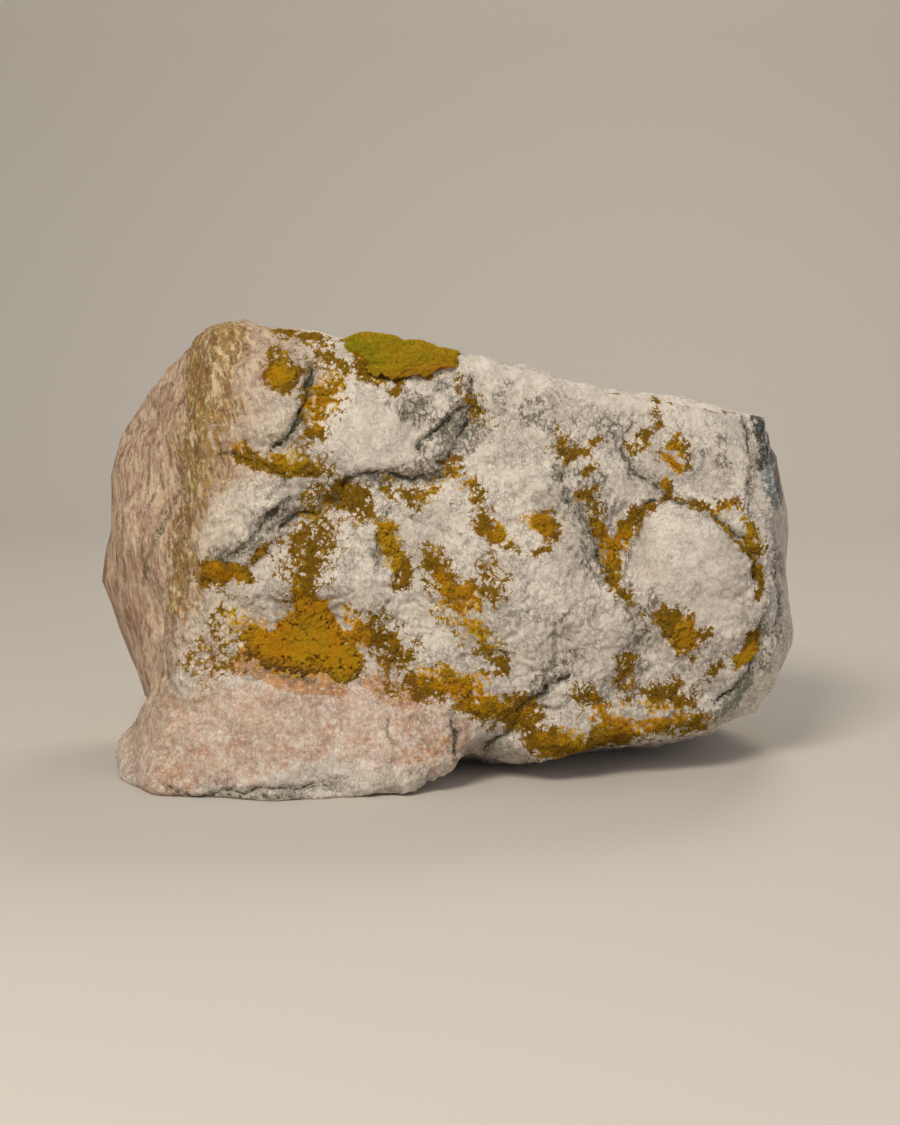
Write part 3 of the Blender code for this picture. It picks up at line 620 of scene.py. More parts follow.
    def relief(self, calm: np.ndarray, wrinkled: np.ndarray) -> np.ndarray:
        """How far the weathering lifts each point.

        Args:
            calm: how smooth the stone is there.
            wrinkled: how crumpled its crust is there.

        Returns:
            One height for each point.
        """
        wandering = strayed(self.plain, 0.030, 0.006)
        lumps = smooth_noise(wandering, self.lump_wave, 3)
        crags = 0.55 - np.abs(smooth_noise(wandering, self.crag_wave, 2, 7.0)) * 1.6
        grit = smooth_noise(self.plain, self.grit_wave, 2, 13.0)
        height = (smooth_noise(wandering, self.scarp_wave, 3, 21.0) + 8.0) * self.scarp_steps
        scarp = eased(height % 1.0, 0.0, 0.16) - height % 1.0
        rough = 1.0 - 0.75 * calm
        folds = np.clip(1.0 - np.abs(smooth_noise(wandering, self.fold_wave, 3, 31.0)) * 5.0, 0.0, 1.0)
        return (
            -self.fold_depth * folds * wrinkled
            + self.lump_depth * lumps * (1.0 - 0.5 * calm)
            + self.crag_depth * crags * rough
            + self.grit_depth * grit * (1.0 - 0.5 * calm)
            + self.scarp_depth * scarp * rough
        )

    def cover(self, mesh: bpy.types.Mesh, normals: np.ndarray) -> None:
        """Stores where moss grows and how high its pads stand over the plain stone."""
        pads = self.pad_heights(normals)
        flat = strayed(strayed(self.plain, 0.034, 0.009), 0.012, 0.004)[:, [0, 2]]
        total = np.zeros(len(self.plain))
        for growth in GROWTHS:
            away = distance_to_route(flat, growth.route)
            total = np.maximum(total, growth.strength * np.clip(1.0 - away / (2.3 * growth.reach), 0.0, 1.0))
        total *= self.on_face(normals) * eased(self.plain[:, 2], 0.003, 0.010)
        away_from_face = (1.0 - self.on_face(normals)) * eased(self.plain[:, 0], -0.190, -0.150)
        total = np.maximum(total, eased(pads, -0.002, 0.005) * away_from_face * 0.95)
        for name in PAD_NODES:
            low, high = (np.array(corner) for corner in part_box(name))
            half = 0.5 * (high - low) + self.fray_reach
            away = np.linalg.norm((self.plain - 0.5 * (low + high)) / half, axis=1)
            total = np.maximum(total, self.fray * (1.0 - eased(away, 0.75, 1.15)) * away_from_face)
        MeshTools.store(mesh, Region.MOSS.value, total)
        MeshTools.store(mesh, Region.PAD.value, pads)

    def pad_heights(self, normals: np.ndarray) -> np.ndarray:
        """How high the moss pads of the plain model stand over each point, 0 where there is none."""
        heights = np.zeros(len(self.plain))
        for name in PAD_NODES:
            low, high = (np.array(corner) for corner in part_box(name))
            inside = (self.plain > low - self.pad_margin) & (self.plain < high + self.pad_margin)
            tree = BVHTree.FromObject(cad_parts[name], bpy.context.evaluated_depsgraph_get())
            for index in np.flatnonzero(inside.all(axis=1)):
                normal = Vector(normals[index])
                start = Vector(self.plain[index]) + normal * self.pad_reach
                hit = tree.ray_cast(start, -normal, self.pad_reach)
                if hit[0] is not None:
                    heights[index] = max(heights[index], self.pad_reach - hit[3])
        return heights


class Weave:
    """Builds patterns in a node tree. A shader tree and a geometry tree get the same ones."""

    def __init__(self, tree: bpy.types.NodeTree) -> None:
        """Starts on a tree.

        Args:
            tree: a material's tree or a geometry tree.
        """
        self.tree = tree
        self.shading = tree.bl_idname == "ShaderNodeTree"
        self.start = None

    def node(self, kind: str, **settings) -> bpy.types.Node:
        """A new node of this kind with these settings."""
        made = self.tree.nodes.new(kind)
        for name, value in settings.items():
            setattr(made, name, value)
        return made

    def feed(self, socket: bpy.types.NodeSocket, source) -> None:
        """Links a socket to this one, or sets its own value to this number or colour."""
        if isinstance(source, bpy.types.NodeSocket):
            self.tree.links.new(source, socket)
        elif source is not None:
            socket.default_value = source

    def sum(self, operation: str, *terms, clamped: bool = False) -> bpy.types.NodeSocket:
        """The result of one arithmetic step.

        Args:
            operation: the step's name.
            terms: sockets or numbers.
            clamped: whether the result is held between 0 and 1.

        Returns:
            The result's socket.
        """
        made = self.node("ShaderNodeMath", operation=operation, use_clamp=clamped)
        for socket, term in zip(made.inputs, terms):
            self.feed(socket, term)
        return made.outputs[0]

    def times(self, first, *others) -> bpy.types.NodeSocket:
        """All the terms multiplied."""
        for other in others:
            first = self.sum("MULTIPLY", first, other)
        return first

    def plus(self, first, *others) -> bpy.types.NodeSocket:
        """All the terms added up."""
        for other in others:
            first = self.sum("ADD", first, other)
        return first

    def less(self, first, second) -> bpy.types.NodeSocket:
        """The first term less the second."""
        return self.sum("SUBTRACT", first, second)

    def ramp(self, value, low: float, high: float, start: float = 0.0, end: float = 1.0) -> bpy.types.NodeSocket:
        """A value carried from one range to another with soft ends."""
        made = self.node("ShaderNodeMapRange", interpolation_type="SMOOTHSTEP")
        for socket, term in zip(made.inputs, (value, low, high, start, end)):
            self.feed(socket, term)
        return made.outputs[0]

    def place(self) -> bpy.types.NodeSocket:
        """The point on the piece, in metres."""
        if self.start is None:
            if self.shading:
                self.start = self.node("ShaderNodeTexCoord").outputs["Object"]
            else:
                self.start = self.node("GeometryNodeInputPosition").outputs[0]
        return self.start

    def stored(self, region: Region | str) -> bpy.types.NodeSocket:
        """A number that the mesh keeps for each point."""
        name = region.value if isinstance(region, Region) else region
        if self.shading:
            return self.node("ShaderNodeAttribute", attribute_name=name).outputs["Fac"]
        made = self.node("GeometryNodeInputNamedAttribute", data_type="FLOAT")
        made.inputs[0].default_value = name
        return made.outputs[0]

    def noise(
        self, wave: float, detail: float = 2.0, roughness: float = 0.5, at=None, shift: float = 0.0,
        distortion: float = 0.0,
    ) -> bpy.types.NodeSocket:
        """Fractal noise about 0.5.

        Args:
            wave: the longest wavelength.
            detail: how many finer waves are added.
            roughness: how strong the finer ones are.
            at: the point, where it isn't the plain one.
            shift: moves the pattern.
            distortion: how much it is drawn out.

        Returns:
            The noise's socket.
        """
        point = at or self.place()
        if shift:
            moved = self.node("ShaderNodeVectorMath", operation="ADD")
            self.feed(moved.inputs[0], point)
            moved.inputs[1].default_value = (shift, -0.7 * shift, 0.4 * shift)
            point = moved.outputs[0]
        made = self.node("ShaderNodeTexNoise")
        self.feed(made.inputs["Vector"], point)
        made.inputs["Scale"].default_value = 1.0 / wave
        made.inputs["Detail"].default_value = detail
        made.inputs["Roughness"].default_value = roughness
        made.inputs["Distortion"].default_value = distortion
        return made.outputs[0]

    def veins(
        self, wave: float, sharpness: float, at=None, shift: float = 0.0, detail: float = 2.0,
    ) -> bpy.types.NodeSocket:
        """Thin winding lines: 1 on a line, 0 away from it.

        Args:
            wave: how far apart the lines lie.
            sharpness: how thin they are.
            at: the point, where it isn't the plain one.
            shift: moves the pattern.
            detail: how much the lines wriggle.

        Returns:
            The lines' socket.
        """
        noise_value = self.noise(wave, detail, 0.55, at, shift)
        away = self.sum("ABSOLUTE", self.less(noise_value, 0.5))
        return self.sum("SUBTRACT", 1.0, self.times(away, sharpness), clamped=True)

    def stretched(self, share: float, lean: float = 0.0) -> bpy.types.NodeSocket:
        """The point with its height taken at this share, so that a pattern is drawn out upwards.

        Args:
            share: the share.
            lean: the angle round Y that the point is turned by first.

        Returns:
            The point's socket.
        """
        point = self.place()
        if lean:
            turned = self.node("ShaderNodeVectorRotate", rotation_type="Y_AXIS")
            self.feed(turned.inputs["Vector"], point)
            turned.inputs["Angle"].default_value = lean
            point = turned.outputs[0]
        made = self.node("ShaderNodeVectorMath", operation="MULTIPLY")
        self.feed(made.inputs[0], point)
        made.inputs[1].default_value = (1.0, 1.0, share)
        return made.outputs[0]

    def blend(self, share, first, second) -> bpy.types.NodeSocket:
        """Two colours mixed by a share from 0 to 1."""
        made = self.node("ShaderNodeMix", data_type="RGBA", clamp_factor=True)
        self.feed(made.inputs[0], share)
        self.feed(made.inputs[6], first)
        self.feed(made.inputs[7], second)
        return made.outputs[2]

    def lay(self, colour, tone, *shares) -> bpy.types.NodeSocket:
        """A colour with a tone laid over it, as strongly as all the shares multiplied."""
        return self.blend(self.times(*shares), colour, tone)

    def roughen(self, shader: bpy.types.Node, height, strength: float, distance: float) -> None:
        """Gives a shader's surface a fine relief of this height, strength and distance."""
        bump = self.node("ShaderNodeBump")
        bump.inputs["Strength"].default_value = strength
        bump.inputs["Distance"].default_value = distance
        self.feed(bump.inputs["Height"], height)
        self.feed(shader.inputs["Normal"], bump.outputs[0])

    def stored_vector(self, name: str) -> bpy.types.NodeSocket:
        """A direction that the mesh keeps for each point."""
        made = self.node("GeometryNodeInputNamedAttribute", data_type="FLOAT_VECTOR")
        made.inputs[0].default_value = name
        return made.outputs[0]

    def keep(self, geometry, name: str, value, kind: str = "FLOAT", domain: str = "POINT") -> bpy.types.NodeSocket:
        """The geometry with a value kept on it under a name."""
        made = self.node("GeometryNodeStoreNamedAttribute", data_type=kind, domain=domain)
        self.feed(made.inputs["Geometry"], geometry)
        made.inputs["Name"].default_value = name
        self.feed(made.inputs["Value"], value)
        return made.outputs[0]

    def scaled(self, direction, length) -> bpy.types.NodeSocket:
        """A direction made this long."""
        made = self.node("ShaderNodeVectorMath", operation="SCALE")
        self.feed(made.inputs[0], direction)
        self.feed(made.inputs["Scale"], length)
        return made.outputs[0]

    def moved(self, geometry, offset, chosen=None) -> bpy.types.NodeSocket:
        """The geometry, or the chosen part of it, moved by an offset."""
        made = self.node("GeometryNodeSetPosition")
        self.feed(made.inputs["Geometry"], geometry)
        self.feed(made.inputs["Selection"], chosen)
        self.feed(made.inputs["Offset"], offset)
        return made.outputs[0]

    def moss_cover(self) -> bpy.types.NodeSocket:
        """Where moss grows: over 0.5 inside its mats, whose edges are twigs and lace."""
        ground = self.stored(Region.MOSS)
        fine = self.times(self.veins(0.0062, 7.0, shift=2.6, detail=2.0), 0.8)
        net = self.sum("MAXIMUM", self.veins(0.0115, 9.0, detail=3.5), fine)
        twigs = self.times(self.less(net, 0.56), 0.58)
        lace = self.times(self.less(self.noise(0.0085, 5.0, 0.72, shift=1.7), 0.53), 0.9)
        clumps = self.times(self.less(self.noise(0.030, 3.0, 0.6, shift=4.1), 0.5), 0.9)
        bare = self.times(self.ramp(ground, 0.02, 0.22, 1.0, 0.0), -0.6)
        return self.plus(self.plus(ground, twigs), self.plus(lace, clumps), bare)


@dataclass(frozen=True)
class Crust:
    """The stone's pale crust and what stains it, with painted shade in its cracks and on its recessed right end
    face.
    """

    name: str = "granite crust"
    pale: tuple = linear(224, 214, 199)
    grey: tuple = linear(198, 188, 174)
    bright: tuple = linear(240, 232, 220)
    line: tuple = linear(118, 109, 99)
    speck: tuple = linear(84, 76, 64)
    furrow: tuple = linear(84, 76, 58)
    pink: tuple = linear(206, 174, 150)
    pink_deep: tuple = linear(184, 134, 102)
    rosy_dark: tuple = linear(158, 118, 94)
    olive: tuple = linear(162, 122, 56)
    olive_dark: tuple = linear(116, 90, 48)
    olive_green: tuple = linear(146, 128, 52)
    fibre: tuple = linear(220, 200, 166)
    bark: tuple = linear(118, 82, 54)
    skin_tone: tuple = linear(168, 126, 94)
    rust: tuple = linear(206, 143, 78)
    rust_deep: tuple = linear(158, 104, 56)
    # Painted shade of the recessed right end face: a slate-grey tone and a darker one.
    end_shade_blue: tuple = linear(118, 132, 134)
    end_shade_blue_dark: tuple = linear(66, 72, 70)
    teal: tuple = linear(112, 118, 98)
    # The crack colour: the cracks' own dark strands, and also the painted shade in their hollows and on the deepest
    # part of the right end face.
    crack: tuple = linear(42, 40, 28)
    # Painted grey-green shade beside the cracks.
    crack_side_shade: tuple = linear(116, 112, 92)

    def material(self, moss: "MossFinish") -> bpy.types.Material:
        """Builds the stone's material.

        Args:
            moss: the finish whose stain shows between the shoots.

        Returns:
            The material.
        """
        made = bpy.data.materials.new(self.name)
        made.use_nodes = True
        weave = Weave(made.node_tree)
        shader = made.node_tree.nodes["Principled BSDF"]
        shader.inputs["Roughness"].default_value = 0.92
        shader.inputs["Specular IOR Level"].default_value = 0.25
        mottle = weave.noise(0.0125, 5.0, 0.68, shift=2.3)
        grains = weave.noise(0.0034, 3.0, 0.6, shift=5.2)
        lively = weave.ramp(weave.stored(Region.CALM), 0.1, 1.0, 1.05, 0.62)
        colour = weave.blend(weave.ramp(weave.noise(0.055, 4.0, 0.6), 0.42, 0.66), self.pale, self.grey)
        colour = weave.lay(colour, self.grey, weave.ramp(mottle, 0.52, 0.74, 0.0, 0.65), lively)
        colour = self.pinked(weave, colour)
        colour = self.grained(weave, colour, grains, lively)
        colour = self.lined(weave, colour, lively)
        colour = self.streaked(weave, colour)
        colour = self.patched(weave, colour)
        colour = self.stranded(weave, colour)
        cover = weave.moss_cover()
        colour = weave.lay(colour, moss.tone(weave, cover), weave.ramp(cover, 0.455, 0.505))
        weave.feed(shader.inputs["Base Color"], colour)
        weave.roughen(shader, weave.plus(mottle, weave.times(grains, 0.6)), 0.55, 0.0012)
        return made

    def pinked(self, weave: Weave, colour: bpy.types.NodeSocket) -> bpy.types.NodeSocket:
        """The crust turned pink where its iron shows, and rusty where it runs down."""
        pink = weave.stored(Region.PINK)
        streaks = weave.noise(0.010, 4.0, 0.65, at=weave.stretched(0.28), shift=7.7)
        grainy = weave.ramp(weave.noise(0.0045, 4.0, 0.75, shift=3.1), 0.36, 0.60, -0.55, 0.12)
        share = weave.plus(pink, weave.ramp(streaks, 0.35, 0.7, -0.45, 0.25), grainy)
        colour = weave.lay(colour, self.pink, weave.ramp(share, -0.10, 0.80, 0.0, 0.88))
        deep = weave.ramp(weave.noise(0.018, 4.0, 0.7, shift=5.5), 0.5, 0.7)
        colour = weave.lay(colour, self.pink_deep, pink, deep, 0.8)
        mixed = weave.ramp(weave.noise(0.008, 4.0, 0.7, shift=0.9), 0.42, 0.62)
        burnt = weave.blend(mixed, self.rust, self.rust_deep)
        ragged = weave.ramp(weave.noise(0.0060, 5.0, 0.8, shift=6.6), 0.32, 0.66, -0.62, 0.12)
        stained = weave.plus(weave.stored(Region.RUST), ragged)
        return weave.lay(colour, burnt, weave.ramp(stained, 0.0, 0.60, 0.0, 0.88))

    def grained(self, weave: Weave, colour, grains, lively) -> bpy.types.NodeSocket:
        """The crust's own grains, and the white and dark ones where it is pink."""
        colour = weave.lay(colour, self.line, weave.ramp(grains, 0.53, 0.72, 0.0, 0.36), lively)
        colour = weave.lay(colour, self.bright, weave.ramp(grains, 0.46, 0.30, 0.0, 0.50))
        sugar = weave.noise(0.0075, 6.0, 0.85, shift=4.9)
        rosy = weave.ramp(weave.stored(Region.PINK), 0.1, 0.8)
        colour = weave.lay(colour, self.bright, weave.ramp(sugar, 0.50, 0.62, 0.0, 0.60), rosy)
        return weave.lay(colour, self.rosy_dark, weave.ramp(sugar, 0.47, 0.36, 0.0, 0.62), rosy)

    def lined(self, weave: Weave, colour, lively) -> bpy.types.NodeSocket:
        """Hairlines in patches, furrows where the crust is crumpled, and single specks."""
        patchy = weave.ramp(weave.noise(0.024, 4.0, 0.65, shift=6.4), 0.44, 0.60)
        hair = weave.ramp(weave.veins(0.0062, 6.0, shift=3.3, detail=4.0), 0.50, 1.0)
        colour = weave.lay(colour, self.line, hair, patchy, 0.55, lively)
        fine_hair = weave.veins(0.0038, 5.0, at=weave.stretched(0.6), shift=5.9, detail=3.0)
        sparse = weave.ramp(weave.noise(0.015, 3.0, 0.7, shift=2.6), 0.42, 0.62, 0.08, 0.50)
        colour = weave.lay(colour, self.line, weave.ramp(fine_hair, 0.45, 1.0), weave.times(sparse, lively))
        crumple = weave.plus(weave.stored(Region.WRINKLE), weave.ramp(patchy, 0.0, 1.0, -0.5, 0.12))
        furrow = weave.veins(0.0080, 9.0, at=weave.stretched(0.55), shift=6.7, detail=5.0)
        shares = (weave.ramp(furrow, 0.35, 1.0), weave.ramp(crumple, 0.05, 0.7), 0.86)
        colour = weave.lay(colour, self.furrow, *shares)
        specks = weave.ramp(weave.noise(0.0026, 2.0, 0.5, shift=8.8), 0.68, 0.74)
        return weave.lay(colour, self.speck, specks, 0.5)

    def streaked(self, weave: Weave, colour: bpy.types.NodeSocket) -> bpy.types.NodeSocket:
        """Fibres down the left flank, and golden-brown streaks down the shoulder above it."""
        flank, olive = weave.stored(Region.FLANK), weave.stored(Region.OLIVE)
        colour = weave.lay(colour, self.skin_tone, weave.ramp(flank, 0.1, 0.9), 0.46)
        clouds = weave.noise(0.040, 4.0, 0.65, at=weave.stretched(0.45, lean=0.30), shift=5.7)
        colour = weave.lay(colour, self.rosy_dark, weave.ramp(clouds, 0.52, 0.66, 0.0, 0.55), flank)
        colour = weave.lay(colour, self.fibre, weave.ramp(clouds, 0.46, 0.34, 0.0, 0.55), flank)
        drawn = weave.stretched(0.18, lean=0.26)
        dashes = weave.noise(0.0050, 4.0, 0.7, at=drawn, shift=3.9, distortion=0.5)
        broad = weave.noise(0.020, 4.0, 0.7, at=weave.stretched(0.30, lean=0.20), shift=8.3)
        share = weave.plus(olive, weave.ramp(dashes, 0.34, 0.64, -0.50, 0.28))
        share = weave.plus(share, weave.ramp(broad, 0.34, 0.66, -0.36, 0.20))
        mixed = weave.ramp(weave.noise(0.0075, 4.0, 0.7, shift=1.1), 0.40, 0.62)
        tone = weave.blend(mixed, self.olive, self.olive_dark)
        greener = weave.ramp(weave.noise(0.013, 3.0, 0.7, shift=6.3), 0.50, 0.66)
        tone = weave.lay(tone, self.olive_green, greener)
        colour = weave.lay(colour, tone, weave.ramp(share, 0.0, 0.58, 0.0, 0.90), weave.ramp(olive, 0.0, 0.22))
        streaky = weave.sum("MAXIMUM", flank, weave.ramp(olive, 0.1, 0.6, 0.0, 0.7), clamped=True)
        for wave, length, lean, strength in ((0.0085, 0.13, 0.34, 0.72), (0.0036, 0.22, 0.28, 0.50)):
            drawn = weave.stretched(length, lean=lean)
            fibres = weave.noise(wave, 4.0, 0.62, at=drawn, shift=2.2 + wave, distortion=0.5)
            colour = weave.lay(colour, self.fibre, weave.ramp(fibres, 0.52, 0.64), streaky, strength)
            colour = weave.lay(colour, self.bark, weave.ramp(fibres, 0.47, 0.35), streaky, strength)
        return colour

    def patched(self, weave: Weave, colour: bpy.types.NodeSocket) -> bpy.types.NodeSocket:
        """The painted shade on the recessed right end face, the grey-green patches, and painted shade in the
        hollows.
        """
        # Painted shade on the recessed right end face: a streaked slate-grey tone, near-black where it lies
        # deepest; the grey-green patches are the stone's own colour.
        streaks = weave.noise(0.0065, 5.0, 0.75, at=weave.stretched(0.35), shift=2.8)
        end_shade_tone = weave.blend(weave.ramp(streaks, 0.40, 0.60), self.end_shade_blue, self.end_shade_blue_dark)
        end_shade_tone = weave.lay(end_shade_tone, self.grey, weave.ramp(streaks, 0.44, 0.30, 0.0, 0.8))
        patches = ((Region.BLUE, end_shade_tone, 0.010), (Region.TEAL, self.teal, 0.008), (Region.DARK, self.crack, 0.006))
        for region, tone, wave in patches:
            ragged = weave.ramp(weave.noise(wave, 5.0, 0.8), 0.34, 0.64, -0.95, 0.16)
            patch = weave.plus(weave.stored(region), ragged)
            colour = weave.lay(colour, tone, weave.ramp(patch, 0.05, 0.60, 0.0, 0.86))
        # Painted shade: the hollows of the cracks darkened towards the crack colour.
        hollow = weave.stored(Region.HOLLOW)
        fine = weave.ramp(weave.noise(0.004, 4.0, 0.7, shift=9.1), 0.3, 0.7, -0.35, 0.35)
        depth = weave.plus(hollow, weave.times(fine, hollow))
        return weave.lay(colour, self.crack, weave.ramp(depth, 0.20, 0.90, 0.0, 0.86))

    def stranded(self, weave: Weave, colour: bpy.types.NodeSocket) -> bpy.types.NodeSocket:
        """The thin dark strands that run beside each crack, and the painted grey-green shade between them."""
        near = weave.stored(Region.NEAR_CRACK)
        uneven = weave.ramp(weave.noise(0.0060, 4.0, 0.75, shift=1.9), 0.3, 0.7, -0.55, 0.25)
        ragged = weave.plus(near, uneven)
        # Painted shade beside each crack, ragged by noise.
        colour = weave.lay(colour, self.crack_side_shade, weave.ramp(ragged, 0.0, 0.75, 0.0, 0.40))
        swayed = weave.times(weave.noise(0.0085, 4.0, 0.6, shift=8.1), 5.2)
        phase = weave.sum("FRACT", weave.plus(weave.times(near, 3.4), swayed))
        strand = weave.ramp(weave.sum("ABSOLUTE", weave.less(phase, 0.5)), 0.26, 0.05)
        broken = weave.ramp(weave.noise(0.0075, 4.0, 0.7, shift=4.4), 0.36, 0.54)
        reach = weave.times(weave.ramp(ragged, 0.0, 0.50), 0.88)
        return weave.lay(colour, self.crack, strand, broken, reach)


@dataclass(frozen=True)
class MossFinish:
    """Moss: two living tones, a dry one for its edges, and the light tips of its shoots."""

    name: str
    main: tuple
    second: tuple
    dry: tuple
    deep: tuple
    tip: tuple
    thin: tuple
    thin_share: float

    def tone(self, weave: Weave, cover: bpy.types.NodeSocket) -> bpy.types.NodeSocket:
        """The moss's colour over its mats.

        Args:
            weave: the tree that gets the pattern.
            cover: where the moss grows, which turns its edges dry.

        Returns:
            The colour's socket.
        """
        pad = weave.stored(Region.PAD)
        broad = weave.ramp(weave.noise(0.040, 3.0, 0.6, shift=2.9), 0.42, 0.60)
        colour = weave.blend(broad, self.main, self.second)
        lean = weave.plus(pad, weave.ramp(weave.noise(0.016, 3.0, 0.6, shift=7.3), 0.3, 0.7, -0.003, 0.003))
        colour = weave.lay(colour, self.thin, weave.ramp(lean, 0.0, 0.005, self.thin_share, 0.0))
        edge = weave.times(weave.ramp(cover, 0.50, 0.72, 1.0, 0.0), weave.ramp(pad, 0.0005, 0.0040, 1.0, 0.25))
        colour = weave.lay(colour, self.deep, edge, 0.6)
        patchy = weave.ramp(weave.noise(0.024, 3.0, 0.6, shift=6.1), 0.40, 0.62)
        colour = weave.lay(colour, self.dry, edge, patchy, 0.70)
        crumbs = weave.noise(0.0042, 4.0, 0.7, shift=4.6)
        thick = weave.ramp(pad, 0.0006, 0.0040, 1.0, 0.25)
        colour = weave.lay(colour, self.deep, weave.ramp(crumbs, 0.50, 0.72, 0.0, 0.8), thick)
        return weave.lay(colour, self.tip, weave.ramp(crumbs, 0.46, 0.30, 0.0, 0.40))

    def material(self) -> bpy.types.Material:
        """Builds the moss's material."""
        made = bpy.data.materials.new(self.name)
        made.use_nodes = True
        weave = Weave(made.node_tree)
        shader = made.node_tree.nodes["Principled BSDF"]
        shader.inputs["Roughness"].default_value = 0.95
        shader.inputs["Specular IOR Level"].default_value = 0.08
        shader.inputs["Sheen Weight"].default_value = 0.06
        shader.inputs["Sheen Roughness"].default_value = 0.6
        colour = self.tone(weave, weave.moss_cover())
        tint = weave.stored("tint")
        colour = weave.lay(colour, self.dry, weave.stored(Region.RUST), 0.9)
        colour = weave.lay(colour, self.tip, weave.ramp(tint, 0.55, 1.0, 0.0, 0.55))
        colour = weave.lay(colour, self.deep, weave.ramp(tint, 0.45, 0.05, 0.0, 0.45))
        weave.feed(shader.inputs["Base Color"], colour)
        weave.roughen(shader, weave.noise(0.0022, 3.0, 0.7), 0.7, 0.0012)
        return made


OCHRE_MOSS = MossFinish(
    "ochre moss", linear(222, 160, 12), linear(208, 164, 12), linear(140, 96, 48), linear(98, 74, 8),
    linear(214, 166, 36), linear(134, 100, 12), 0.92,
)
GREEN_MOSS = MossFinish(
    "green moss", linear(172, 158, 12), linear(192, 154, 14), linear(212, 144, 38), linear(122, 108, 12),
    linear(214, 194, 40), linear(184, 166, 12), 0.0,
)


class NodeTreeTool:
    """Small steps on Geometry Nodes trees."""

    @staticmethod
    def start(name: str, inputs: dict[str, float]) -> tuple[bpy.types.NodeTree, Weave, bpy.types.Node]:
        """A new tree with a geometry socket at each end.

        Args:
            name: the tree's name.
            inputs: its named sizes and their values.

        Returns:
            The tree, its pattern maker and its input node.
        """
        tree = bpy.data.node_groups.new(name, "GeometryNodeTree")
        tree.is_modifier = True
        tree.interface.new_socket(name="Geometry", in_out="INPUT", socket_type="NodeSocketGeometry")
        tree.interface.new_socket(name="Geometry", in_out="OUTPUT", socket_type="NodeSocketGeometry")
        for label, value in inputs.items():
            kind = "NodeSocketInt" if isinstance(value, int) else "NodeSocketFloat"
            socket = tree.interface.new_socket(name=label, in_out="INPUT", socket_type=kind)
            socket.default_value = value
        return tree, Weave(tree), tree.nodes.new("NodeGroupInput")

    @staticmethod
    def end(tree: bpy.types.NodeTree, weave: Weave, geometry, material: bpy.types.Material) -> None:
        """Closes a tree: copies made real, the material set, and the result sent out."""
        real = weave.node("GeometryNodeRealizeInstances")
        weave.feed(real.inputs[0], geometry)
        dress = weave.node("GeometryNodeSetMaterial")
        weave.feed(dress.inputs["Geometry"], real.outputs[0])
        dress.inputs["Material"].default_value = material
        weave.feed(tree.nodes.new("NodeGroupOutput").inputs[0], dress.outputs[0])

    @staticmethod
    def grow(thing: bpy.types.Object, tree: bpy.types.NodeTree, sizes: dict[str, float]) -> bpy.types.Mesh:
        """Runs a tree on an object with these sizes and leaves a plain mesh.

        Args:
            thing: the object.
            tree: the tree.
            sizes: the named inputs' values.

        Returns:
            The new mesh.
        """
        step = thing.modifiers.new(tree.name, "NODES")
        step.node_group = tree
        sockets = {item.name: item.identifier for item in tree.interface.items_tree if item.in_out == "INPUT"}
        for label, value in sizes.items():
            step[sockets[label]] = value
        return MeshTools.settle(thing)


class Side(Enum):
    """The sides that the moss is split into, so that each piece stays light."""

    FRONT_LEFT = "front_left"
    FRONT_RIGHT = "front_right"
    TOP = "top"
    BACK = "back"

    def holds(self, middle: np.ndarray, normal: np.ndarray) -> np.ndarray:
        """Whether faces with these middles and normals are on this side."""
        front = (normal[:, 1] < -0.25) & (middle[:, 1] < 0.0)
        top = ~front & (normal[:, 2] > 0.55)
        if self is Side.TOP:
            return top
        if self is Side.BACK:
            return ~front & ~top
        return front & ((middle[:, 0] < SPLIT_X) == (self is Side.FRONT_LEFT))


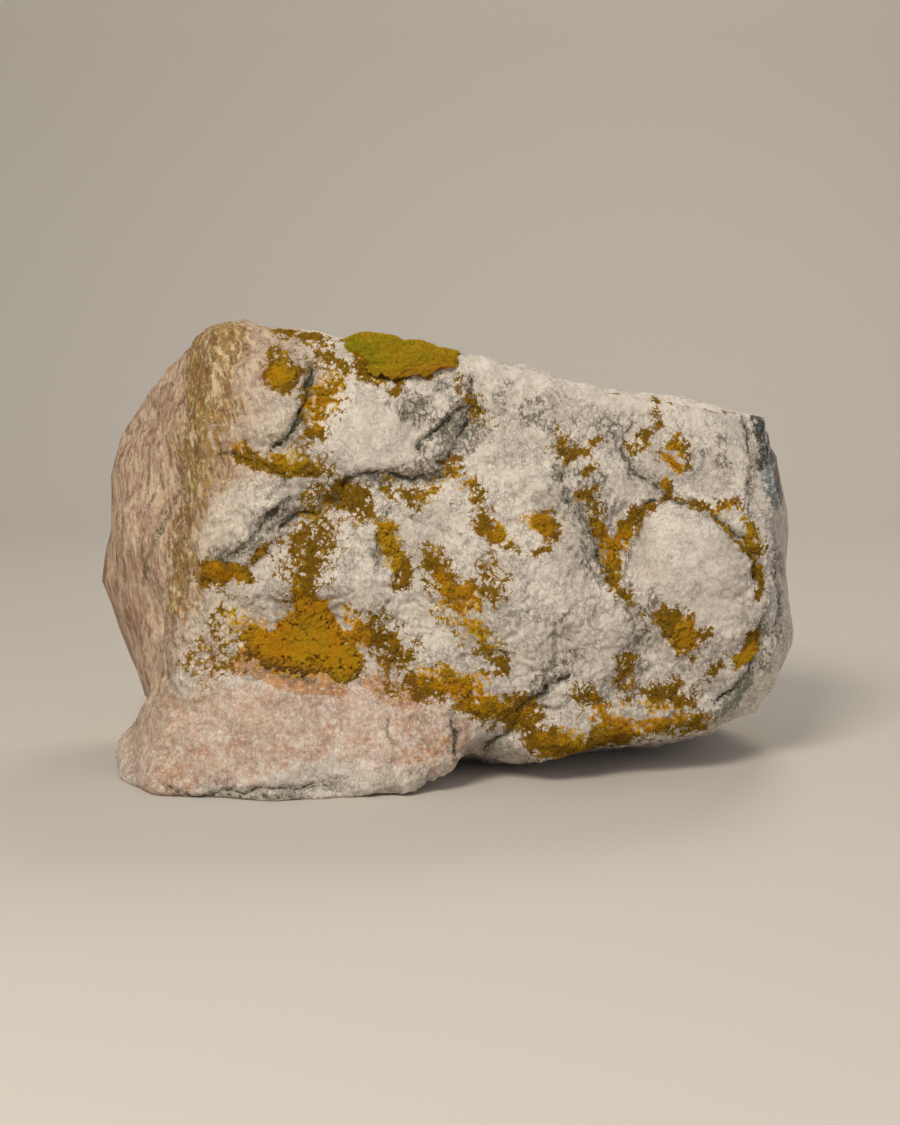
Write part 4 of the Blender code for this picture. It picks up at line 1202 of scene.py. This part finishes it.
@dataclass
class MossMat:
    """A mat of moss on one side of the stone: a thin closed film, and the shoots that stand on it."""

    side: Side
    slot: Slot
    finish: MossFinish
    nodes: tuple
    threshold: float = 0.565
    rim: float = 0.03
    """How far under the threshold the film's rim begins."""
    root: float = 0.0011
    film: float = 0.0010
    density: float = 1500000.0
    shoot: float = 0.0016
    width: float = 0.00042
    tilt: float = 0.6
    seed: int = 5

    def build(self, skin: bpy.types.Object, material: bpy.types.Material) -> list[bpy.types.Object]:
        """Grows the mat.

        Args:
            skin: the finely meshed stone.
            material: the moss's material.

        Returns:
            The film and the shoots.
        """
        film = MeshTools.object_of(f"moss_mat_{self.side.value}", self.ground(skin))
        NodeTreeTool.grow(film, self.film_tree(material), {"Root": self.root, "Film": self.film})
        return [film, self.strewn(f"moss_shoots_{self.side.value}", film.data, material)]

    def sizes(self) -> dict[str, float]:
        """The named inputs of the shoots' tree."""
        return {
            "Density": self.density, "Shoot": self.shoot, "Width": self.width, "Tilt": self.tilt, "Seed": self.seed,
        }

    def strewn(self, name: str, under: bpy.types.Mesh, material: bpy.types.Material) -> bpy.types.Object:
        """The shoots that stand on a mesh.

        Args:
            name: the piece's name.
            under: what they stand on.
            material: the moss's material.

        Returns:
            The finished piece.
        """
        shoots = MeshTools.object_of(name, under.copy())
        shoots.data.materials.clear()
        NodeTreeTool.grow(shoots, self.shoot_tree(material), self.sizes())
        return shoots

    def ground(self, skin: bpy.types.Object) -> bpy.types.Mesh:
        """The stone's skin with a mark on the faces of this side where moss may grow."""
        mesh = skin.data.copy()
        middles = np.empty(len(mesh.polygons) * 3, dtype=np.float32)
        mesh.polygons.foreach_get("center", middles)
        normals = np.empty(len(mesh.polygons) * 3, dtype=np.float32)
        mesh.polygon_normals.foreach_get("vector", normals)
        inside = self.side.holds(middles.reshape(-1, 3), normals.reshape(-1, 3))
        mesh.attributes.new("side", "FLOAT", "FACE").data.foreach_set("value", inside.astype(np.float32))
        return mesh

    def film_tree(self, material: bpy.types.Material) -> bpy.types.NodeTree:
        """The tree that keeps the faces under the moss and gives them a root below and a film above."""
        tree, weave, given = NodeTreeTool.start("moss film", {"Root": self.root, "Film": self.film})
        cover = weave.moss_cover()
        bared = weave.node("GeometryNodeDeleteGeometry", domain="FACE")
        weave.feed(bared.inputs["Geometry"], given.outputs["Geometry"])
        shown = weave.times(cover, weave.stored("side"))
        weave.feed(bared.inputs["Selection"], weave.sum("LESS_THAN", shown, self.threshold - self.rim))
        normal = weave.node("GeometryNodeInputNormal").outputs[0]
        marked = weave.keep(bared.outputs[0], "up", normal, "FLOAT_VECTOR")
        marked = weave.keep(marked, "thick", self.thickness(weave, cover, given))
        up = weave.stored_vector("up")
        sunk = weave.moved(marked, weave.scaled(up, weave.times(given.outputs["Root"], -1.0)))
        top = weave.node("GeometryNodeExtrudeMesh", mode="FACES")
        weave.feed(top.inputs["Mesh"], sunk)
        top.inputs["Offset Scale"].default_value = 0.0
        top.inputs["Individual"].default_value = False
        raised = weave.moved(top.outputs["Mesh"], weave.scaled(up, weave.stored("thick")), top.outputs["Top"])
        under = weave.node("GeometryNodeFlipFaces")
        weave.feed(under.inputs[0], sunk)
        joined = weave.node("GeometryNodeJoinGeometry")
        weave.feed(joined.inputs[0], under.outputs[0])
        weave.feed(joined.inputs[0], raised)
        closed = weave.node("GeometryNodeMergeByDistance")
        weave.feed(closed.inputs["Geometry"], joined.outputs[0])
        closed.inputs["Distance"].default_value = 1e-6
        NodeTreeTool.end(tree, weave, closed.outputs[0], material)
        return tree

    def thickness(self, weave: Weave, cover: bpy.types.NodeSocket, given: bpy.types.Node) -> bpy.types.NodeSocket:
        """How thick the moss is from its root to its upper side.

        Args:
            weave: the tree that gets the pattern.
            cover: where the moss grows.
            given: the tree's input node.

        Returns:
            The thickness's socket.
        """
        pads = weave.stored(Region.PAD)
        share = weave.ramp(cover, self.threshold, self.threshold + 0.30)
        crumbs = weave.times(weave.less(weave.noise(0.006, 3.0, 0.7, shift=9.9), 0.35), 3.2)
        even = weave.ramp(pads, 0.0006, 0.0040, 1.0, 0.45)
        film = weave.times(given.outputs["Film"], crumbs, weave.times(share, even))
        pad = weave.times(pads, weave.ramp(cover, self.threshold, self.threshold + 0.34))
        filled = weave.times(weave.stored(Region.RELIEF), weave.ramp(pad, 0.0003, 0.0022, 0.0, 0.97))
        height = weave.less(weave.plus(weave.sum("MAXIMUM", film, 0.0), pad), filled)
        rise = weave.ramp(cover, self.threshold - self.rim, self.threshold + 0.02, 0.4, 1.15)
        return weave.plus(weave.sum("MAXIMUM", height, 0.0), weave.times(given.outputs["Root"], rise))

    def shoot_tree(self, material: bpy.types.Material) -> bpy.types.NodeTree:
        """The tree that strews the shoots over the film's upper side."""
        tree, weave, given = NodeTreeTool.start("moss shoots", self.sizes())
        cover = weave.moss_cover()
        strewn = weave.node("GeometryNodeDistributePointsOnFaces", distribute_method="RANDOM")
        weave.feed(strewn.inputs["Mesh"], given.outputs["Geometry"])
        outward = weave.node("ShaderNodeVectorMath", operation="DOT_PRODUCT")
        weave.feed(outward.inputs[0], weave.node("GeometryNodeInputNormal").outputs[0])
        weave.feed(outward.inputs[1], weave.stored_vector("up"))
        upper = weave.sum("GREATER_THAN", outward.outputs["Value"], 0.3)
        shown = weave.times(upper, weave.sum("GREATER_THAN", cover, self.threshold - 0.005))
        weave.feed(strewn.inputs["Density"], weave.times(given.outputs["Density"], shown))
        weave.feed(strewn.inputs["Seed"], given.outputs["Seed"])
        spike = weave.node("GeometryNodeMeshCone", fill_type="NGON")
        spike.inputs["Vertices"].default_value = 3
        spike.inputs["Radius Top"].default_value = 0.0
        weave.feed(spike.inputs["Radius Bottom"], given.outputs["Width"])
        weave.feed(spike.inputs["Depth"], given.outputs["Shoot"])
        sunk = weave.node("GeometryNodeTransform")
        weave.feed(sunk.inputs["Geometry"], spike.outputs["Mesh"])
        down = weave.node("ShaderNodeCombineXYZ")
        weave.feed(down.inputs[2], weave.times(given.outputs["Shoot"], -0.28))
        weave.feed(sunk.inputs["Translation"], down.outputs[0])
        planted = weave.node("GeometryNodeInstanceOnPoints")
        weave.feed(planted.inputs["Points"], strewn.outputs["Points"])
        weave.feed(planted.inputs["Instance"], sunk.outputs[0])
        lean = weave.node("FunctionNodeRandomValue", data_type="FLOAT_VECTOR")
        weave.feed(lean.inputs[0], self.turn(weave, given, -1.0))
        weave.feed(lean.inputs[1], self.turn(weave, given, 1.0))
        tilted = weave.node("FunctionNodeRotateRotation", rotation_space="LOCAL")
        weave.feed(tilted.inputs[0], strewn.outputs["Rotation"])
        weave.feed(tilted.inputs[1], lean.outputs[0])
        weave.feed(planted.inputs["Rotation"], tilted.outputs[0])
        size = weave.node("FunctionNodeRandomValue", data_type="FLOAT")
        size.inputs[2].default_value = 0.6
        size.inputs[3].default_value = 1.25
        size.inputs["Seed"].default_value = 3
        weave.feed(planted.inputs["Scale"], size.outputs[1])
        tint = weave.node("FunctionNodeRandomValue", data_type="FLOAT")
        tint.inputs["Seed"].default_value = 8
        marked = weave.keep(planted.outputs[0], "tint", tint.outputs[1], domain="INSTANCE")
        NodeTreeTool.end(tree, weave, marked, material)
        return tree

    def turn(self, weave: Weave, given: bpy.types.Node, share: float) -> bpy.types.NodeSocket:
        """One end of the range of the shoots' lean, as three angles."""
        made = weave.node("ShaderNodeCombineXYZ")
        for socket in made.inputs[:2]:
            weave.feed(socket, weave.times(given.outputs["Tilt"], share))
        made.inputs[2].default_value = math.pi * share
        return made.outputs[0]


@dataclass
class Cushion(MossMat):
    """The green cushion that hangs over the top rim: its own crowned body, velvety with short shoots."""

    grain: float = 0.0022
    smoothings: int = 14
    lump_wave: float = 0.020
    lump_height: float = 0.0026
    crumb_wave: float = 0.0065
    crumb_height: float = 0.0012
    swell: float = 0.0006
    rag_wave: float = 0.010
    rag_height: float = 0.008
    rag_width: float = 0.006
    foot_lift: float = 0.010
    top_press: float = 0.0075
    top_shift: float = 0.007
    foot_shift: float = 0.022
    dry_height: float = 0.008
    dry_slope: float = 0.016
    dry_rag: float = 0.012
    cover: float = 1.3

    def build(self, skin: bpy.types.Object, material: bpy.types.Material) -> list[bpy.types.Object]:
        """Grows the cushion from the solid that it stands for.

        Args:
            skin: not used.
            material: the moss's material.

        Returns:
            The cushion's body and its shoots.
        """
        body = MeshTools.object_of("moss_cushion", MeshTools.merged_copy(CUSHION_NODE))
        mesh = MeshTools.reskin(body, self.grain, self.smoothings)
        points, normals = MeshTools.points(mesh), MeshTools.normals(mesh)
        lumps = self.lump_height * smooth_noise(points, self.lump_wave, 3)
        crumbs = self.crumb_height * smooth_noise(points, self.crumb_wave, 2, 4.0)
        points += normals * (lumps + crumbs + self.swell)[:, None]
        MeshTools.store(mesh, Region.RUST.value, self.sag(points))
        MeshTools.move(mesh, points)
        ups = mesh.attributes.new("up", "FLOAT_VECTOR", "POINT")
        ups.data.foreach_set("vector", MeshTools.normals(mesh).astype(np.float32).ravel())
        MeshTools.store(mesh, Region.MOSS.value, np.full(len(points), self.cover))
        mesh.materials.append(material)
        return [body, self.strewn("moss_shoots_cushion", mesh, material)]

    def sag(self, points: np.ndarray) -> np.ndarray:
        """Bends the cushion's points in place into a ragged leaf that hangs to the right.

        Args:
            points: the cushion's points.

        Returns:
            How dry the moss is at each point, which shows along the lower edge.
        """
        low, high = points.min(axis=0), points.max(axis=0)
        span = high - low
        away = np.abs(points[:, 0] - 0.5 * (low[0] + high[0])) / (0.5 * span[0])
        rag = smooth_noise(points, self.rag_wave, 3, 9.0)
        lowness = 1.0 - eased(points[:, 2], low[2], low[2] + 0.4 * span[2])
        highness = eased(points[:, 2], low[2] + 0.25 * span[2], high[2])
        rightness = eased(points[:, 0], low[0] + 0.3 * span[0], high[0])
        leftness = 1.0 - eased(points[:, 0], low[0] + 0.35 * span[0], low[0] + 0.85 * span[0])
        points[:, 2] += (self.rag_height * rag + self.foot_lift) * lowness - self.top_press * highness
        shift = self.top_shift * highness - self.foot_shift * lowness
        points[:, 0] += self.rag_width * away * rag + shift * leftness
        edge = low[2] + self.dry_height + self.dry_slope * rightness
        return eased(edge - points[:, 2] + self.dry_rag * rag, -0.008, 0.010)


@dataclass(frozen=True)
class Studio:
    """The pale floor that rises behind the stone, the lights and the camera."""

    elevation: float = math.radians(9.0)
    distance: float = 2.2
    target: tuple = (0.004, 0.0, 0.1926)
    lens: float = 70.0
    floor: tuple = linear(206, 200, 190)
    half_width: float = 4.0
    bend_start: float = 1.6
    bend_radius: float = 0.9
    front_edge: float = -3.2
    wall_top: float = 3.4
    bend_steps: int = 12
    sky: tuple = linear(226, 226, 232)
    sky_strength: float = 0.34

    def build(self) -> None:
        """Sets the studio up round the stone."""
        self.camera()
        self.cove()
        world = bpy.data.worlds.new("studio")
        bpy.context.scene.world = world
        world.use_nodes = True
        world.node_tree.nodes["Background"].inputs["Color"].default_value = self.sky
        world.node_tree.nodes["Background"].inputs["Strength"].default_value = self.sky_strength
        self.light("key", (-0.75, -2.1, 2.2), 0.9, 59.0, linear(255, 247, 234))
        self.light("fill", (2.2, -1.8, 1.1), 1.6, 9.0, linear(236, 240, 255))
        self.light("rim", (0.8, 1.6, 2.4), 1.0, 22.0, linear(255, 246, 232))
        settings = bpy.context.scene.view_settings
        settings.view_transform = "Standard"
        settings.look = "None"

    def camera(self) -> None:
        """Places the camera at the photograph's angle."""
        data = bpy.data.cameras.new("camera")
        data.lens = self.lens
        data.sensor_width = 36.0
        made = bpy.data.objects.new("camera", data)
        bpy.context.scene.collection.objects.link(made)
        back = Vector((0.0, -math.cos(self.elevation), math.sin(self.elevation)))
        made.location = Vector(self.target) + self.distance * back
        made.rotation_euler = (-back).to_track_quat("-Z", "Y").to_euler()
        bpy.context.scene.camera = made

    def cove(self) -> bpy.types.Object:
        """A floor that curves up into a wall behind the stone."""
        profile = [(self.front_edge, 0.0), (self.bend_start, 0.0)]
        for step in range(1, self.bend_steps + 1):
            turn = math.radians(90.0 * step / self.bend_steps)
            along = self.bend_start + self.bend_radius * math.sin(turn)
            profile.append((along, self.bend_radius * (1.0 - math.cos(turn))))
        profile.append((self.bend_start + self.bend_radius, self.wall_top))
        points = [(side * self.half_width, y, z) for y, z in profile for side in (-1, 1)]
        faces = [(2 * n, 2 * n + 1, 2 * n + 3, 2 * n + 2) for n in range(len(profile) - 1)]
        mesh = bpy.data.meshes.new("cove")
        mesh.from_pydata(points, [], faces)
        mesh.shade_smooth()
        paint = bpy.data.materials.new("pale studio paper")
        paint.use_nodes = True
        shader = paint.node_tree.nodes["Principled BSDF"]
        shader.inputs["Base Color"].default_value = self.floor
        shader.inputs["Roughness"].default_value = 0.9
        mesh.materials.append(paint)
        return MeshTools.object_of("cove", mesh)

    def light(self, name: str, place: tuple, side: float, power: float, colour: tuple) -> None:
        """Adds a square soft light that looks at the stone.

        Args:
            name: the light's name.
            place: where it hangs.
            side: its side.
            power: its power in watts.
            colour: its colour.
        """
        data = bpy.data.lights.new(name, "AREA")
        data.size = side
        data.energy = power
        data.color = colour[:3]
        made = bpy.data.objects.new(name, data)
        bpy.context.scene.collection.objects.link(made)
        made.location = place
        made.rotation_euler = (Vector(self.target) - Vector(place)).to_track_quat("-Z", "Y").to_euler()


def pads_named(word: str) -> tuple:
    """The moss pads whose names hold this word, in order."""
    return tuple(sorted(name for name in PAD_NODES if word in name))


def main() -> None:
    """Builds the stone, its moss and the studio."""
    logging.basicConfig(level=logging.INFO, format="%(name)s: %(message)s")
    noise.seed_set(NOISE_SEED)
    boulder = Boulder()
    stone = boulder.build()
    stone.data.materials.clear()
    stone.data.materials.append(Crust().material(OCHRE_MOSS))
    stone.data.shade_smooth()
    adopt(stone, Slot.GRANITE, boulder.node)
    ochre, green = OCHRE_MOSS.material(), GREEN_MOSS.material()
    top_nodes, back_nodes = pads_named("top"), pads_named("back")
    face_nodes = tuple(name for name in pads_named("moss") if name not in top_nodes + back_nodes)
    left = tuple(name for name in face_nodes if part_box(name)[0][0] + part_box(name)[1][0] < 2.0 * SPLIT_X)
    right = tuple(name for name in face_nodes if name not in left)
    mats = (
        (MossMat(Side.FRONT_LEFT, Slot.OCHRE_MOSS, OCHRE_MOSS, left, seed=5, density=1420000.0), ochre),
        (MossMat(Side.FRONT_RIGHT, Slot.OCHRE_MOSS, OCHRE_MOSS, right, seed=6), ochre),
        (MossMat(Side.TOP, Slot.GREEN_MOSS, GREEN_MOSS, top_nodes, seed=7, density=700000.0), green),
        (MossMat(Side.BACK, Slot.OCHRE_MOSS, OCHRE_MOSS, back_nodes, seed=8, density=900000.0), ochre),
        (Cushion(Side.TOP, Slot.GREEN_MOSS, GREEN_MOSS, (CUSHION_NODE,), seed=9, density=2600000.0), green),
    )
    for mat, material in mats:
        film, shoots = mat.build(boulder.skin, material)
        adopt(film, mat.slot, *mat.nodes)
        adopt(shoots, mat.slot)
    bpy.data.objects.remove(boulder.skin)
    Studio().build()
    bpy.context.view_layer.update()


if __name__ == "__main__":
    main()
